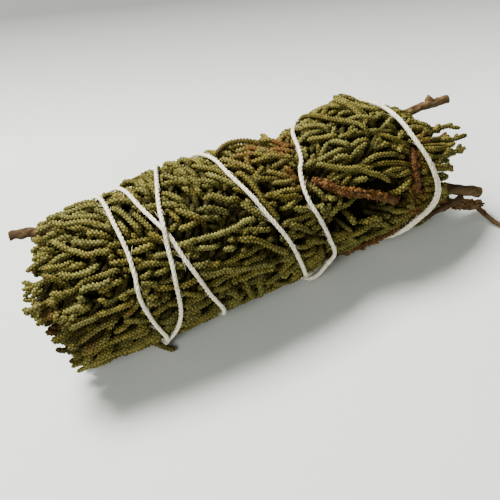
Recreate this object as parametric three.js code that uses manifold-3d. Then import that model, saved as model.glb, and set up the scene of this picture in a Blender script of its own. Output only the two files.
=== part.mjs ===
// A tied bundle of cedar sprays lying on a table. Millimetres, +Z up, the length along X,
// leafy tips at -X, cut stems at +X.
import * as THREE from "three";
import { mergeVertices } from "three/addons/utils/BufferGeometryUtils.js";
import Module from "manifold-3d";

const wasm = await Module();
wasm.setup();
const { Manifold, Mesh } = wasm;

// Outline of the bundle: place along X, radius, sideways offset, height of the middle
const OUTLINE = [
  [-44, 15.4, 0.4, 15.3],
  [-36, 16.5, 0.4, 16.4],
  [-28, 17.1, -0.2, 17.0],
  [-20, 17.3, -0.8, 17.2],
  [-12, 17.7, -0.7, 17.6],
  [-4, 17.5, -0.8, 17.4],
  [4, 17.0, -1.4, 16.9],
  [10, 16.3, -2.0, 16.3],
  [16, 15.5, -2.0, 15.6],
  [20, 15.7, -1.7, 15.8],
  [26, 16.7, -1.7, 16.8],
  [32, 17.1, -2.0, 17.2],
  [38, 16.4, -2.8, 16.5],
  [44, 14.6, -3.9, 14.8],
  [50, 12.3, -4.6, 13.0],
];

// Route of the one string: turn round the bundle in degrees, place along X
const STRING_ROUTE = [
  [-270, 33.8],
  [-180, 32.0],
  [-125, 35.4],
  [-109, 37.8],
  [-98, 40.8],
  [-86, 42.8],
  [-72, 43.4],
  [-50, 42.8],
  [-30, 41.6],
  [-10, 41.2],
  [10, 40.5],
  [35, 37.6],
  [60, 35.0],
  [110, 31.0],
  [160, 24.0],
  [210, 17.5],
  [222, 14.5],
  [229, 12.2],
  [238, 10.2],
  [266, 7.7],
  [292, 5.5],
  [313, 3.1],
  [330, 1.7],
  [352, 0.0],
  [375, -0.2],
  [420, -2.0],
  [480, -5.0],
  [540, -8.0],
  [604, -10.4],
  [636, -13.8],
  [655, -15.5],
  [669, -16.6],
  [687, -17.4],
  [700, -18.5],
  [717, -19.5],
  [750, -19.8],
  [800, -21.5],
  [880, -22.5],
  [955, -23.2],
  [994, -26.4],
  [1014, -27.4],
  [1031, -26.7],
  [1049, -26.1],
  [1071, -25.7],
  [1105, -24.6],
  [1160, -24.4],
  [1240, -23.5],
  [1320, -22.2],
  [1331, -21.5],
  [1349, -20.4],
  [1372, -19.9],
  [1386, -19.3],
  [1403, -18.5],
  [1419, -17.3],
  [1436, -15.4],
  [1455, -12.9],
  [1510, -7.0],
  [1580, 1.0],
  [1640, 9.0],
  [1654, 11.0],
  [1668, 13.2],
  [1678, 15.2],
  [1692, 17.0],
  [1716, 15.5],
  [1735, 14.3],
  [1754, 13.1],
  [1766, 13.3],
  [1781, 14.7],
  [1789, 16.3],
  [1802, 17.8],
  [1825, 20.0],
  [1846, 23.5],
  [1890, 29.0],
  [1930, 32.0],
  [1980, 31.0],
  [2035, 34.1],
  [2051, 36.5],
  [2062, 39.5],
  [2074, 41.5],
  [2088, 42.1],
  [2110, 41.5],
  [2130, 40.3],
  [2150, 39.9],
  [2170, 39.2],
  [2195, 36.3],
  [2220, 33.7],
  [2250, 31.2],
];

const DEGREE = Math.PI / 180;

// Leafy cords: thickness, fineness, depth of the middle below the outside
const CORD_RADIUS = 0.85;
const CORD_TIP = 0.5;
const CORD_SIDES = 3;
const CORD_STEP = 5.4;
const CORD_DEPTH = 0.95;
const ROOT_DEPTH = 5.8;
const CORD_CLEAR = 0.3;

// String: thickness, depth of the middle, least gap to the table, groove it presses
const STRING_RADIUS = 0.6;
const STRING_SIDES = 4;
const STRING_STEP = 18;
const STRING_DEPTH = 0.7;
const STRING_CLEAR = 0.15;
const GROOVE_DEPTH = 2.0;
const GROOVE_FLAT = 1.5;
const GROOVE_REACH = 3.0;

// Inner wedges: depth of their ridges and valleys, gap to the next wedge
const RIDGE_DEPTH = 3.3;
const RIDGE_CHANGE = 0.7;
const VALLEY_DEPTH = 4.3;
const WEDGE_MIDDLE = 1.2;
const SEAM = 0.18;

// A wide enough stretch of route to look for a near string, and the usual radius
const NEAR = 12;
const USUAL_RADIUS = 16;

const clamp = (value, low, high) => Math.min(high, Math.max(low, value));
const mix = (a, b, t) => a + (b - a) * t;

function ease(low, high, value) {
  const t = clamp((value - low) / (high - low), 0, 1);
  return t * t * (3 - 2 * t);
}

// A seeded row of numbers between 0 and 1
function seeded(seed) {
  let state = seed >>> 0;
  return () => {
    state = (state + 0x6d2b79f5) >>> 0;
    let t = state;
    t = Math.imul(t ^ (t >>> 15), t | 1);
    t ^= t + Math.imul(t ^ (t >>> 7), t | 61);
    return ((t ^ (t >>> 14)) >>> 0) / 4294967296;
  };
}

// Smooth curve through rows of numbers whose first column rises
function smooth(rows, u) {
  const last = rows.length - 1;
  let k = 0;
  while (k < last - 1 && u > rows[k + 1][0]) k += 1;
  const before = rows[Math.max(k - 1, 0)];
  const from = rows[k];
  const to = rows[k + 1];
  const after = rows[Math.min(k + 2, last)];
  const span = to[0] - from[0];
  const t = clamp((u - from[0]) / span, 0, 1);
  const found = [];
  for (let c = 1; c < from.length; c += 1) {
    const slopeFrom = ((to[c] - before[c]) / (to[0] - before[0])) * span;
    const slopeTo = ((after[c] - from[c]) / (after[0] - from[0])) * span;
    const bend = t * t * (3 - 2 * t);
    const ends = (t * t * t - 2 * t * t + t) * slopeFrom + (t * t * t - t * t) * slopeTo;
    found.push(mix(from[c], to[c], bend) + ends);
  }
  return found;
}

// Height of the plane the bundle lies on, and of its outside pressed flat there
const TABLE_TOP = 1.25;
const FLAT_HEIGHT = 0.7;

// Distance from the middle line to the outside, flattened underneath
function reach(x, turn) {
  const [radius, , height] = smooth(OUTLINE, x);
  const down = -Math.cos(turn);
  return down > 0 ? Math.min(radius, (height - FLAT_HEIGHT) / down) : radius;
}

// Point at a turn from the top toward the viewer's side, at a distance from the middle line
function place(x, turn, distance) {
  const [, side, height] = smooth(OUTLINE, x);
  return new THREE.Vector3(x, side - distance * Math.sin(turn), height + distance * Math.cos(turn));
}

function turnGap(a, b) {
  const full = 2 * Math.PI;
  const gap = (((a - b) % full) + full) % full;
  return Math.min(gap, full - gap);
}

// The string's route on the outline, taken at short steps
const MARK_STEP = 4;
const FIRST_TURN = STRING_ROUTE[0][0];
const LAST_TURN = STRING_ROUTE[STRING_ROUTE.length - 1][0];
const marks = [];
for (let wound = FIRST_TURN; wound <= LAST_TURN; wound += MARK_STEP) {
  const [x] = smooth(STRING_ROUTE, wound);
  const turn = -wound * DEGREE;
  marks.push({ wound, x, turn, radius: reach(x, turn) });
}

// Places where a later strand crosses an earlier one
const CROSSING_GAP = 0.9;
const HALF_TURN = 180;
const crossings = [];
{
  const closest = marks.map((mark, j) => {
    let best = Infinity;
    for (let i = 0; i < j; i += 1) {
      const other = marks[i];
      if (mark.wound - other.wound < HALF_TURN) break;
      const along = mark.x - other.x;
      if (Math.abs(along) > NEAR) continue;
      best = Math.min(best, Math.hypot(along, turnGap(mark.turn, other.turn) * mark.radius));
    }
    return best;
  });
  for (let j = 1; j + 1 < marks.length; j += 1) {
    const lowest = closest[j] <= closest[j - 1] && closest[j] < closest[j + 1];
    if (lowest && closest[j] < CROSSING_GAP) crossings.push(marks[j]);
  }
}

// How far the later strand rises where it crosses
const CROSSING_LIFT = 1.35;
const CROSSING_REACH = 3.2;
function lift(wound) {
  let most = 0;
  for (const crossing of crossings) {
    const along = (wound - crossing.wound) * DEGREE * crossing.radius;
    most = Math.max(most, CROSSING_LIFT * Math.exp(-((along / CROSSING_REACH) ** 2)));
  }
  return most;
}

function fromString(x, turn) {
  let best = Infinity;
  for (const mark of marks) {
    const along = x - mark.x;
    if (Math.abs(along) > NEAR) continue;
    const round = turnGap(turn, mark.turn) * mark.radius;
    best = Math.min(best, along * along + round * round);
  }
  return Math.sqrt(best);
}

// Loose rust twigs that lie in the outer layer: place, turn in degrees, depth of the middle
const RUST_TWIGS = [
  {
    name: "rust_twig_1",
    radius: 0.95,
    route: [
      [16.5, 29, 2.6],
      [18.6, 38, 1.5],
      [21.0, 50, 1.0],
      [25.0, 60, 0.9],
      [29.0, 70, 1.0],
      [32.5, 80, 1.9],
    ],
  },
  {
    name: "rust_twig_2",
    radius: 0.8,
    route: [
      [40.2, 38, 2.8],
      [38.6, 50, 1.6],
      [37.7, 64, 1.1],
      [37.3, 80, 1.8],
    ],
  },
  {
    name: "rust_twig_3",
    radius: 0.8,
    route: [
      [21.0, 127, 1.3],
      [27.0, 120, 1.0],
      [33.0, 114, 1.5],
      [35.5, 111, 2.8],
      [39.0, 107, 3.0],
      [42.0, 103, 2.9],
      [47.0, 99, 2.2],
    ],
  },
];

// Groove along one line on the outside, with a flat bottom
function groove(gap, depth, flat, fade) {
  return depth * Math.exp(-((Math.max(0, gap - flat) / fade) ** 2));
}

// The outside with the string's grooves pressed in
function pressed(x, turn) {
  return reach(x, turn) - groove(fromString(x, turn), GROOVE_DEPTH, GROOVE_FLAT, GROOVE_REACH);
}

// How far the cords pass below the loose twigs
const TWIG_FLAT = 1.6;
const TWIG_FADE = 1.5;
const TWIG_CLEAR = 0.2;
function underTwigs(x, turn) {
  let most = 0;
  for (const twig of RUST_TWIGS) {
    for (let k = 0; k + 1 < twig.route.length; k += 1) {
      const [xFrom, turnFrom] = twig.route[k];
      const [xTo, turnTo] = twig.route[k + 1];
      for (const share of [0, 0.5, 1]) {
        const along = x - mix(xFrom, xTo, share);
        if (Math.abs(along) > NEAR) continue;
        const round = turnGap(turn, mix(turnFrom, turnTo, share) * DEGREE) * USUAL_RADIUS;
        const depth = 2 * twig.radius + TWIG_CLEAR;
        most = Math.max(most, groove(Math.hypot(along, round), depth, TWIG_FLAT, TWIG_FADE));
      }
    }
  }
  return most;
}

// A closed skin over rings of points that run anticlockwise seen from ahead
function loft(rings) {
  const sides = rings[0].length;
  const numbers = [];
  for (const ring of rings) {
    for (const point of ring) numbers.push(point.x, point.y, point.z);
  }
  const faces = [];
  for (let k = 0; k + 1 < rings.length; k += 1) {
    for (let i = 0; i < sides; i += 1) {
      const a = k * sides + i;
      const b = k * sides + ((i + 1) % sides);
      faces.push(a, b, b + sides, a, b + sides, a + sides);
    }
  }
  const end = (rings.length - 1) * sides;
  for (let i = 1; i + 1 < sides; i += 1) {
    faces.push(0, i + 1, i, end, end + i, end + i + 1);
  }
  return new Manifold(
    new Mesh({
      numProp: 3,
      vertProperties: new Float32Array(numbers),
      triVerts: new Uint32Array(faces),
    }),
  );
}

// A rod through points, each with its radius; one edge of it faces away from the middle line
const NO_SIDE = 0.5;
function rod(points, radii, sides) {
  const rings = points.map((point, k) => {
    const before = points[Math.max(k - 1, 0)];
    const after = points[Math.min(k + 1, points.length - 1)];
    const ahead = after.clone().sub(before).normalize();
    const [, side, height] = smooth(OUTLINE, point.x);
    const out = new THREE.Vector3(0, point.y - side, point.z - height);
    if (out.length() < NO_SIDE) out.set(0, 0, 1);
    const across = out.clone().cross(ahead).normalize();
    const up = ahead.clone().cross(across);
    const ring = [];
    for (let i = 0; i < sides; i += 1) {
      const angle = Math.PI / 2 + (2 * Math.PI * i) / sides;
      const corner = point.clone();
      corner.addScaledVector(across, Math.cos(angle) * radii[k]);
      corner.addScaledVector(up, Math.sin(angle) * radii[k]);
      ring.push(corner);
    }
    return ring;
  });
  return loft(rings);
}

// How far the tips reach round both ends of the bundle: turn in degrees, place along X
const LEFT_END = [
  [-180, -39.5],
  [-120, -38],
  [-60, -37],
  [-40, -37.3],
  [-20, -39],
  [0, -42],
  [20, -45],
  [40, -46.5],
  [60, -45.8],
  [80, -44.6],
  [100, -42.6],
  [130, -41],
  [180, -39.5],
];
const RIGHT_END = [
  [-180, 43.5],
  [-60, 43.5],
  [-20, 44],
  [0, 46.5],
  [15, 50],
  [30, 51.5],
  [45, 50.5],
  [60, 47],
  [80, 45.5],
  [100, 44.5],
  [130, 43],
  [180, 43.5],
];

// The bundle is two tiers of sprays: leafy tips at -X, and the stem end at +X
const SPLIT = 5;
const TIERS = {
  left: {
    sectors: 9,
    start: -20 * DEGREE,
    ends: LEFT_END,
    far: -40,
    way: -1,
    slices: 5,
    ridges: 4,
    tips: 7,
    seed: 100,
    leanMiddle: 0,
    leanTurn: -38 * DEGREE,
    leanFrom: -4,
    leanTo: -36,
    rows: [
      [2.5, -1],
      [-7, -1],
      [-17, -1],
      [-26, -1],
    ],
  },
  right: {
    sectors: 7,
    start: -5 * DEGREE,
    ends: RIGHT_END,
    far: 46,
    way: 1,
    slices: 4,
    ridges: 4,
    tips: 5,
    seed: 500,
    leanMiddle: 15 * DEGREE,
    leanTurn: 24 * DEGREE,
    leanFrom: 10,
    leanTo: 46,
    rows: [
      [15.5, -1],
      [12, 1],
      [23, 1],
      [33, 1],
    ],
  },
};

// How the sprays lean round the bundle as they run to its ends
const LEAN_WIDTH = 60 * DEGREE;
function lean(tier, x, turn) {
  const near = Math.exp(-((turnGap(turn, tier.leanMiddle) / LEAN_WIDTH) ** 2));
  const along = (x - tier.leanFrom) / (tier.leanTo - tier.leanFrom);
  return tier.leanTurn * near * ease(0, 1, along);
}

// Where the tips of a spray end, for the turn that its cords have before they lean
function endOf(tier, turn) {
  const leant = (turn + lean(tier, tier.far, turn)) / DEGREE;
  const [x] = smooth(tier.ends, ((((leant + 180) % 360) + 360) % 360) - 180);
  return x;
}

// The inner solid of one spray, a wedge ridged like the cords inside a bunch
const TIP_REACH = 6.4;
function wedge(tier, from, to, random) {
  const across = 2 * tier.ridges;
  const seam = SPLIT + tier.way * SEAM;
  const rings = [];
  for (let k = 0; k <= tier.slices; k += 1) {
    const spot = (share) => {
      const turn = mix(from, to, share);
      const ends = [seam, endOf(tier, turn) - tier.way * TIP_REACH].sort((a, b) => a - b);
      const x = mix(...ends, k / tier.slices);
      return { x, turn: turn + lean(tier, x, turn) };
    };
    const inset = (share) => (share === 0 ? SEAM : share === 1 ? -SEAM : 0);
    const ring = [];
    for (let i = 0; i <= across; i += 1) {
      const { x, turn } = spot(i / across);
      const outside = reach(x, turn);
      const ridge = RIDGE_DEPTH + RIDGE_CHANGE * (i % 2 === 1 ? random() - 0.5 : 0);
      const depth = i % 2 === 1 ? ridge : VALLEY_DEPTH;
      ring.push(place(x, turn + inset(i / across) / (outside - VALLEY_DEPTH), outside - depth));
    }
    for (const share of [1, 0]) {
      const { x, turn } = spot(share);
      ring.push(place(x, turn + inset(share) / WEDGE_MIDDLE, WEDGE_MIDDLE));
    }
    rings.push(ring);
  }
  return loft(rings);
}

// A cord of scale leaves through steps, each a place, a turn and a distance from the middle
function cord(steps) {
  const points = steps.map((step) => place(step.x, step.turn, step.distance));
  const radii = steps.map((step, k) => (k === steps.length - 1 ? CORD_TIP : CORD_RADIUS));
  return rod(points, radii, CORD_SIDES);
}

// The dark gap beside the thick rust twig: middle and half sizes
const GAP = { x: 24.8, turn: 68 * DEGREE, along: 6.0, round: 3.4, deep: 5.0, depth: 3.5 };

function inGap({ x, turn }) {
  const along = (x - GAP.x) / GAP.along;
  const round = (turnGap(turn, GAP.turn) * USUAL_RADIUS) / GAP.round;
  return Math.hypot(along, round) < 1;
}

// One step of a cord, kept inside its sector and below the string and the twigs
function cordStep(plan, x, turn, depth) {
  const { tier, from, to } = plan;
  const leant = turn + lean(tier, x, turn);
  const distance = pressed(x, leant) - underTwigs(x, leant) - depth;
  const margin = (CORD_RADIUS + CORD_CLEAR) / distance;
  const held = clamp(turn, from + margin, to - margin);
  return { x, turn: held + lean(tier, x, held), distance };
}

// One sprig: a main cord from a root inside the wedge, and on some a side cord
const RISE = 0.3;
const BEND = 0.5;
const SIDE_SPREAD = 0.6;
const SIDE_CURVE = 0.22;
const SIDE_FORWARD = 0.9;
const SIDE_RADIUS = 15;
function sprig(plan) {
  const { tier, x, turn, way, drift, hand, random } = plan;
  const room = way === tier.way ? Math.abs(endOf(tier, turn) - x) : Infinity;
  const length = Math.min(plan.length, room);
  const steps = Math.max(2, Math.round(length / CORD_STEP));
  const bend = (random() - 0.5) * BEND;
  const sideways = (t) => ((drift * t + bend * t * (1 - t)) * length) / USUAL_RADIUS;
  const main = [];
  for (let k = 0; k <= steps; k += 1) {
    const t = k / steps;
    const depth = mix(ROOT_DEPTH, CORD_DEPTH, ease(0, RISE, t));
    main.push(cordStep(plan, x + way * length * t, turn + sideways(t), depth));
  }
  const cords = [main];
  if (hand !== 0) {
    const at = 0.36 + 0.16 * random();
    const sideLength = 7 + 3 * random();
    const side = [];
    for (const t of [0, 0.5, 1]) {
      const round = SIDE_SPREAD * sideLength * (t - SIDE_CURVE * t * t);
      const xSide = x + way * (length * at + SIDE_FORWARD * sideLength * t);
      side.push(cordStep(plan, xSide, turn + sideways(at) + (hand * round) / SIDE_RADIUS, CORD_DEPTH));
    }
    cords.push(side);
  }
  return cords.filter((steps) => !steps.some(inGap));
}

// Tips that stand out of the ends of the bundle, from roots inside the wedge
const TIP_ROOT = 3;
const TIP_INNER = 3.5;
const TIP_OUTER = 11.4;
function endTips(tier, from, to, random) {
  const tips = [];
  for (let k = 0; k < tier.tips; k += 1) {
    const share = (k + 0.5) / tier.tips;
    const distance = Math.sqrt(mix(TIP_INNER * TIP_INNER, TIP_OUTER * TIP_OUTER, share));
    const margin = (CORD_RADIUS + CORD_CLEAR) / distance;
    const spot = 0.5 + 0.5 * Math.sin(2.4 * k + 7 * from);
    const turn = mix(from + margin, to - margin, spot);
    const length = 6.5 + 3.5 * random();
    const spread = (random() - 0.5) * 0.14;
    const root = endOf(tier, turn) - tier.way * (TIP_REACH + TIP_ROOT);
    const tip = [];
    for (const t of [0, 0.5, 1]) {
      const x = root + tier.way * length * t;
      const held = clamp(turn + spread * t, from + margin, to - margin);
      const leant = held + lean(tier, x, held);
      const out = Math.min(distance + 1.2 * t * random(), reach(x, leant) - CORD_DEPTH);
      tip.push({ x, turn: leant, distance: out });
    }
    tips.push(tip);
  }
  return tips;
}

// Plans of the sprigs of one spray: root, lane, length, drift and the side of a side cord
const LANES = 2;
const SIDE_ROWS = 3;
function sprigPlans(tier, from, to, random) {
  const plans = [];
  tier.rows.forEach(([root, way], row) => {
    for (let lane = 0; lane < LANES; lane += 1) {
      const stagger = row % 2 === 0 ? 0.3 : 0.7;
      const share = (lane + stagger) / LANES + (random() - 0.5) * 0.12;
      const turn = mix(from, to, clamp(share, 0.08, 0.92));
      const x = root + (random() - 0.5) * 2;
      const length = way === tier.way ? 15 + 3.5 * random() : 10.5 + 1.5 * random();
      const drift = (random() - 0.5) * 0.2;
      const hand = row % 2 === lane && row < SIDE_ROWS ? 1 - 2 * lane : 0;
      plans.push({ tier, from, to, x, turn, length, way, drift, hand, random });
    }
  });
  return plans;
}

// Single cords that stand out further: place, turn in degrees, distance from the middle line
const EXTRA_CORDS = [
  {
    side: "left",
    index: 4,
    route: [
      [-30, 160, 11.5],
      [-26, 154, 16.6],
      [-21.8, 140.5, 20.2],
    ],
  },
  {
    side: "right",
    index: 6,
    route: [
      [40, 5, 9.5],
      [48, 7, 10],
      [55.5, 8, 9.6],
    ],
  },
  {
    side: "right",
    index: 0,
    route: [
      [40, 27, 9.5],
      [48, 30, 10.4],
      [56.4, 31, 10.2],
    ],
  },
  {
    side: "right",
    index: 0,
    route: [
      [40, 41, 9.2],
      [48, 44, 10],
      [55, 46, 9.6],
    ],
  },
  {
    side: "left",
    index: 1,
    route: [
      [-34, 26, 9],
      [-40, 22, 10.2],
      [-46.6, 15, 11.6],
    ],
  },
  {
    side: "left",
    index: 1,
    route: [
      [-35, 37, 11.6],
      [-42, 38.5, 12.8],
      [-48.4, 39.5, 13.6],
    ],
  },
];

// All cords of one spray, fused with its wedge
const SEED_STEP = 17;
function spray(side, index) {
  const tier = TIERS[side];
  const width = (2 * Math.PI) / tier.sectors;
  const from = tier.start + width * index;
  const to = from + width;
  const random = seeded(tier.seed + index * SEED_STEP);
  const solids = [wedge(tier, from, to, random)];
  for (const plan of sprigPlans(tier, from, to, random)) {
    for (const steps of sprig(plan)) solids.push(cord(steps));
  }
  for (const steps of endTips(tier, from, to, random)) solids.push(cord(steps));
  for (const extra of EXTRA_CORDS) {
    if (extra.side !== side || extra.index !== index) continue;
    const steps = extra.route.map(([x, degrees, distance]) => ({ x, turn: degrees * DEGREE, distance }));
    solids.push(cord(steps));
  }
  return Manifold.union(solids);
}

const COLOURS = {
  foliage: 0x6f6a35,
  string: 0xe9e4d6,
  bark: 0x6b5547,
  rust: 0x8a4a26,
};

// A solid from a closed geometry
function solidOf(geometry) {
  geometry.deleteAttribute("normal");
  geometry.deleteAttribute("uv");
  const merged = mergeVertices(geometry);
  return new Manifold(
    new Mesh({
      numProp: 3,
      vertProperties: new Float32Array(merged.attributes.position.array),
      triVerts: new Uint32Array(merged.index.array),
    }),
  );
}

// The lowest cords are cut flat where they lie on the table
const TABLE_SIZE = [200, 200, 10];
const table = solidOf(
  new THREE.BoxGeometry(...TABLE_SIZE).translate(0, 0, TABLE_TOP - TABLE_SIZE[2] / 2),
);

// The dark gap, cut into the sprays as a rounded hollow
const GAP_SEGMENTS = 12;
const gapMiddle = place(GAP.x, GAP.turn, reach(GAP.x, GAP.turn) - GAP.depth);
const gap = solidOf(
  new THREE.SphereGeometry(1, GAP_SEGMENTS, GAP_SEGMENTS / 2)
    .scale(GAP.along, GAP.deep, GAP.round)
    .rotateX(Math.PI / 2 + GAP.turn)
    .translate(...gapMiddle.toArray()),
);

const pieces = [];
for (const side of ["left", "right"]) {
  for (let index = 0; index < TIERS[side].sectors; index += 1) {
    const name = `spray_${side}_${String(index + 1).padStart(2, "0")}`;
    const solid = spray(side, index).subtract(table).subtract(gap);
    pieces.push({ name, colour: COLOURS.foliage, solid });
  }
}

// The knot on the hidden side: place, turn in degrees, how far it stands out
const KNOT_RODS = [
  {
    radius: 1.1,
    route: [
      [30.4, -90, 0.2],
      [32.5, -90, 0.6],
      [34.6, -90, 0.2],
    ],
  },
  {
    radius: 0.6,
    route: [
      [31.2, -90, 0.3],
      [30.2, -99, 1.0],
      [29.4, -108, 0.6],
      [28.8, -117, 0.9],
    ],
  },
  {
    radius: 0.6,
    route: [
      [33.8, -90, 0.3],
      [35.2, -98, 1.1],
      [36.6, -104, 0.9],
      [38.0, -109, 1.4],
    ],
  },
];

// The string: one strand with a small knot over the hidden side and two clipped ends
const KNOT_SIDES = 6;
function stringSolid() {
  const points = [];
  for (let wound = FIRST_TURN; wound <= LAST_TURN; wound += STRING_STEP) {
    const [x] = smooth(STRING_ROUTE, wound);
    const turn = -wound * DEGREE;
    const [, , height] = smooth(OUTLINE, x);
    const down = -Math.cos(turn);
    const lowest = TABLE_TOP + STRING_CLEAR + STRING_RADIUS;
    const free = down > 0 ? (height - lowest) / down : Infinity;
    const distance = Math.min(reach(x, turn) - STRING_DEPTH + lift(wound), free);
    points.push(place(x, turn, distance));
  }
  const radii = points.map(() => STRING_RADIUS);
  const solids = [rod(points, radii, STRING_SIDES)];
  for (const { radius, route } of KNOT_RODS) {
    const along = route.map(([x, degrees, out]) => {
      const turn = degrees * DEGREE;
      return place(x, turn, reach(x, turn) + out);
    });
    solids.push(rod(along, along.map(() => radius), KNOT_SIDES));
  }
  return Manifold.union(solids);
}
pieces.push({ name: "string", colour: COLOURS.string, solid: stringSolid() });

// Woody stems: name, radius at each end, route in millimetres
const STEMS = [
  {
    name: "stem_top",
    radii: [0.7, 1.0],
    route: [
      [26, -2.2, 30.6],
      [36, -2.2, 29.4],
      [42, -1.6, 27.7],
      [50, -1.0, 26.6],
      [57.8, -0.5, 25.2],
    ],
  },
  {
    name: "stem_thick",
    radii: [1.0, 1.3],
    route: [
      [24, -8.0, 15.6],
      [34, -8.6, 15.4],
      [42, -9.6, 13.5],
      [48.7, -13.0, 11.8],
      [57.0, -15.4, 8.2],
    ],
  },
  {
    name: "stem_rough",
    radii: [1.0, 1.25],
    route: [
      [23, -6.0, 11.6],
      [33, -6.8, 11.8],
      [42, -7.9, 10.6],
      [50.7, -13.0, 6.2],
      [57.9, -15.0, 3.3],
    ],
    branch: {
      radii: [0.6, 0.5],
      route: [
        [56.6, -14.6, 3.8],
        [57.2, -17.2, 3.0],
        [57.7, -19.8, 2.4],
        [58.8, -22.4, 2.0],
        [60.6, -26.4, 1.9],
      ],
    },
  },
  {
    name: "stem_inner_1",
    radii: [1.0, 1.5],
    route: [
      [22, -0.6, 19.6],
      [32, -0.8, 20.8],
      [42, -2.4, 19.2],
      [51.5, -4.0, 17.0],
    ],
  },
  {
    name: "stem_inner_2",
    radii: [0.9, 1.4],
    route: [
      [23, 2.8, 17.6],
      [33, 2.6, 18.6],
      [42, 1.0, 17.0],
      [50.0, -0.5, 15.0],
    ],
  },
  {
    name: "stem_inner_3",
    radii: [1.1, 1.6],
    route: [
      [24, 0.3, 12.2],
      [33, 0.2, 13.4],
      [42, -1.2, 11.8],
      [52.5, -3.0, 9.4],
    ],
  },
  {
    name: "stem_low",
    radii: [0.5, 0.75],
    depths: true,
    route: [
      [18, 137, 2.0],
      [23, 134, 1.2],
      [28, 131, 1.5],
      [31.5, 128, 2.6],
      [37, 124, 2.6],
      [40.5, 120, 1.8],
      [46, 114, 1.2],
      [52, 110, 1.0],
    ],
  },
  {
    name: "stub_left",
    radii: [0.95, 1.0],
    depths: true,
    route: [
      [-31, -16, 3.0],
      [-36, -21, 1.2],
      [-39.5, -27, 0.2],
      [-43.6, -35, -0.6],
    ],
  },
];
const STEM_SIDES = 6;
const TWIG_SIDES = 5;
const TWIG_END = 0.7;
const CHANNEL = 0.3;

function routePoints(item) {
  if (!item.depths) return item.route.map(([x, y, z]) => new THREE.Vector3(x, y, z));
  return item.route.map(([x, degrees, depth]) => {
    const turn = degrees * DEGREE;
    return place(x, turn, reach(x, turn) - depth);
  });
}

// A stem, thickening or thinning evenly along its route
function stemSolid(stem, extra) {
  const points = routePoints(stem);
  const [first, last] = stem.radii;
  const radii = points.map((point, k) => mix(first, last, k / (points.length - 1)) + extra);
  const solid = rod(points, radii, STEM_SIDES);
  return stem.branch ? solid.add(stemSolid(stem.branch, extra)) : solid;
}

// A loose twig, thinner at both ends
function twigSolid(twig, extra) {
  const points = routePoints({ depths: true, route: twig.route });
  const last = points.length - 1;
  const radii = points.map((point, k) => twig.radius * (k === 0 || k === last ? TWIG_END : 1) + extra);
  return rod(points, radii, TWIG_SIDES);
}

// Stems and twigs lie in channels that are cut into the sprays round them
const channels = [];
for (const stem of STEMS) {
  pieces.push({ name: stem.name, colour: COLOURS.bark, solid: stemSolid(stem, 0) });
  channels.push(stemSolid(stem, CHANNEL));
}
for (const twig of RUST_TWIGS) {
  pieces.push({ name: twig.name, colour: COLOURS.rust, solid: twigSolid(twig, 0) });
  channels.push(twigSolid(twig, CHANNEL));
}
const allChannels = Manifold.union(channels);
for (const piece of pieces) {
  if (piece.name.startsWith("spray")) piece.solid = piece.solid.subtract(allChannels);
}

// Each piece keeps its largest body, without the crumbs that a channel cuts off
const group = new THREE.Group();
for (const piece of pieces) {
  const bodies = piece.solid.decompose().sort((a, b) => b.volume() - a.volume());
  const skin = bodies[0].getMesh();
  const geometry = new THREE.BufferGeometry();
  geometry.setAttribute("position", new THREE.BufferAttribute(new Float32Array(skin.vertProperties), 3));
  geometry.setIndex(new THREE.BufferAttribute(new Uint32Array(skin.triVerts), 1));
  const material = new THREE.MeshStandardMaterial({ color: piece.colour, roughness: 0.85 });
  const node = new THREE.Mesh(geometry, material);
  node.name = piece.name;
  group.add(node);
}

// The middle of the underside is the origin
const TO_ORIGIN = [-6.3, 4.6, -TABLE_TOP];
group.position.set(...TO_ORIGIN);

export default group;
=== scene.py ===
"""A tied bundle of cedar sprays: leafy cords of scale leaves, woody stems and one twisted string."""

import math

import bpy
import numpy as np
from mathutils import Matrix, Vector


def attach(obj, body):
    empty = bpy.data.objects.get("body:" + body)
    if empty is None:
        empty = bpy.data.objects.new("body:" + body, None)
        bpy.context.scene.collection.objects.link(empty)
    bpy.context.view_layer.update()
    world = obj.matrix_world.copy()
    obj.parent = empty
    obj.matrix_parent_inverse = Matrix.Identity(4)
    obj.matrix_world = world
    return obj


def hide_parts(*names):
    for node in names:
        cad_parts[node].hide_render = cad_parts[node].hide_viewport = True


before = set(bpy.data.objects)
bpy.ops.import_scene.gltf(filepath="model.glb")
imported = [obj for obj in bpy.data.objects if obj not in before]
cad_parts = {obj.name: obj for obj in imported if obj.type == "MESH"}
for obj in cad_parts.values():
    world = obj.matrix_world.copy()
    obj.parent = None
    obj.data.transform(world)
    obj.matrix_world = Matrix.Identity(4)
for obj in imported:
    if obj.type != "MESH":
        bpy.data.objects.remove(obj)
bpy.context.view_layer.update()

# Millimetres of the bundle's own frame, and its shift to the middle of the underside
MM = 0.001
TABLE_TOP = 1.25
TO_ORIGIN = np.array([-6.3, 4.6, -TABLE_TOP])

# A degree and a full turn in radians, and half a turn in degrees
DEGREE = math.pi / 180
FULL_TURN = 2 * math.pi
HALF_TURN = 180

# Least values where zero would fail
TINY = 1e-6
TINIEST = 1e-9

# Outline of the bundle: place along X, radius, sideways offset, height of the middle
OUTLINE = np.array([
    [-44, 15.4, 0.4, 15.3],
    [-36, 16.5, 0.4, 16.4],
    [-28, 17.1, -0.2, 17.0],
    [-20, 17.3, -0.8, 17.2],
    [-12, 17.7, -0.7, 17.6],
    [-4, 17.5, -0.8, 17.4],
    [4, 17.0, -1.4, 16.9],
    [10, 16.3, -2.0, 16.3],
    [16, 15.5, -2.0, 15.6],
    [20, 15.7, -1.7, 15.8],
    [26, 16.7, -1.7, 16.8],
    [32, 17.1, -2.0, 17.2],
    [38, 16.4, -2.8, 16.5],
    [44, 14.6, -3.9, 14.8],
    [50, 12.3, -4.6, 13.0],
])

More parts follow.
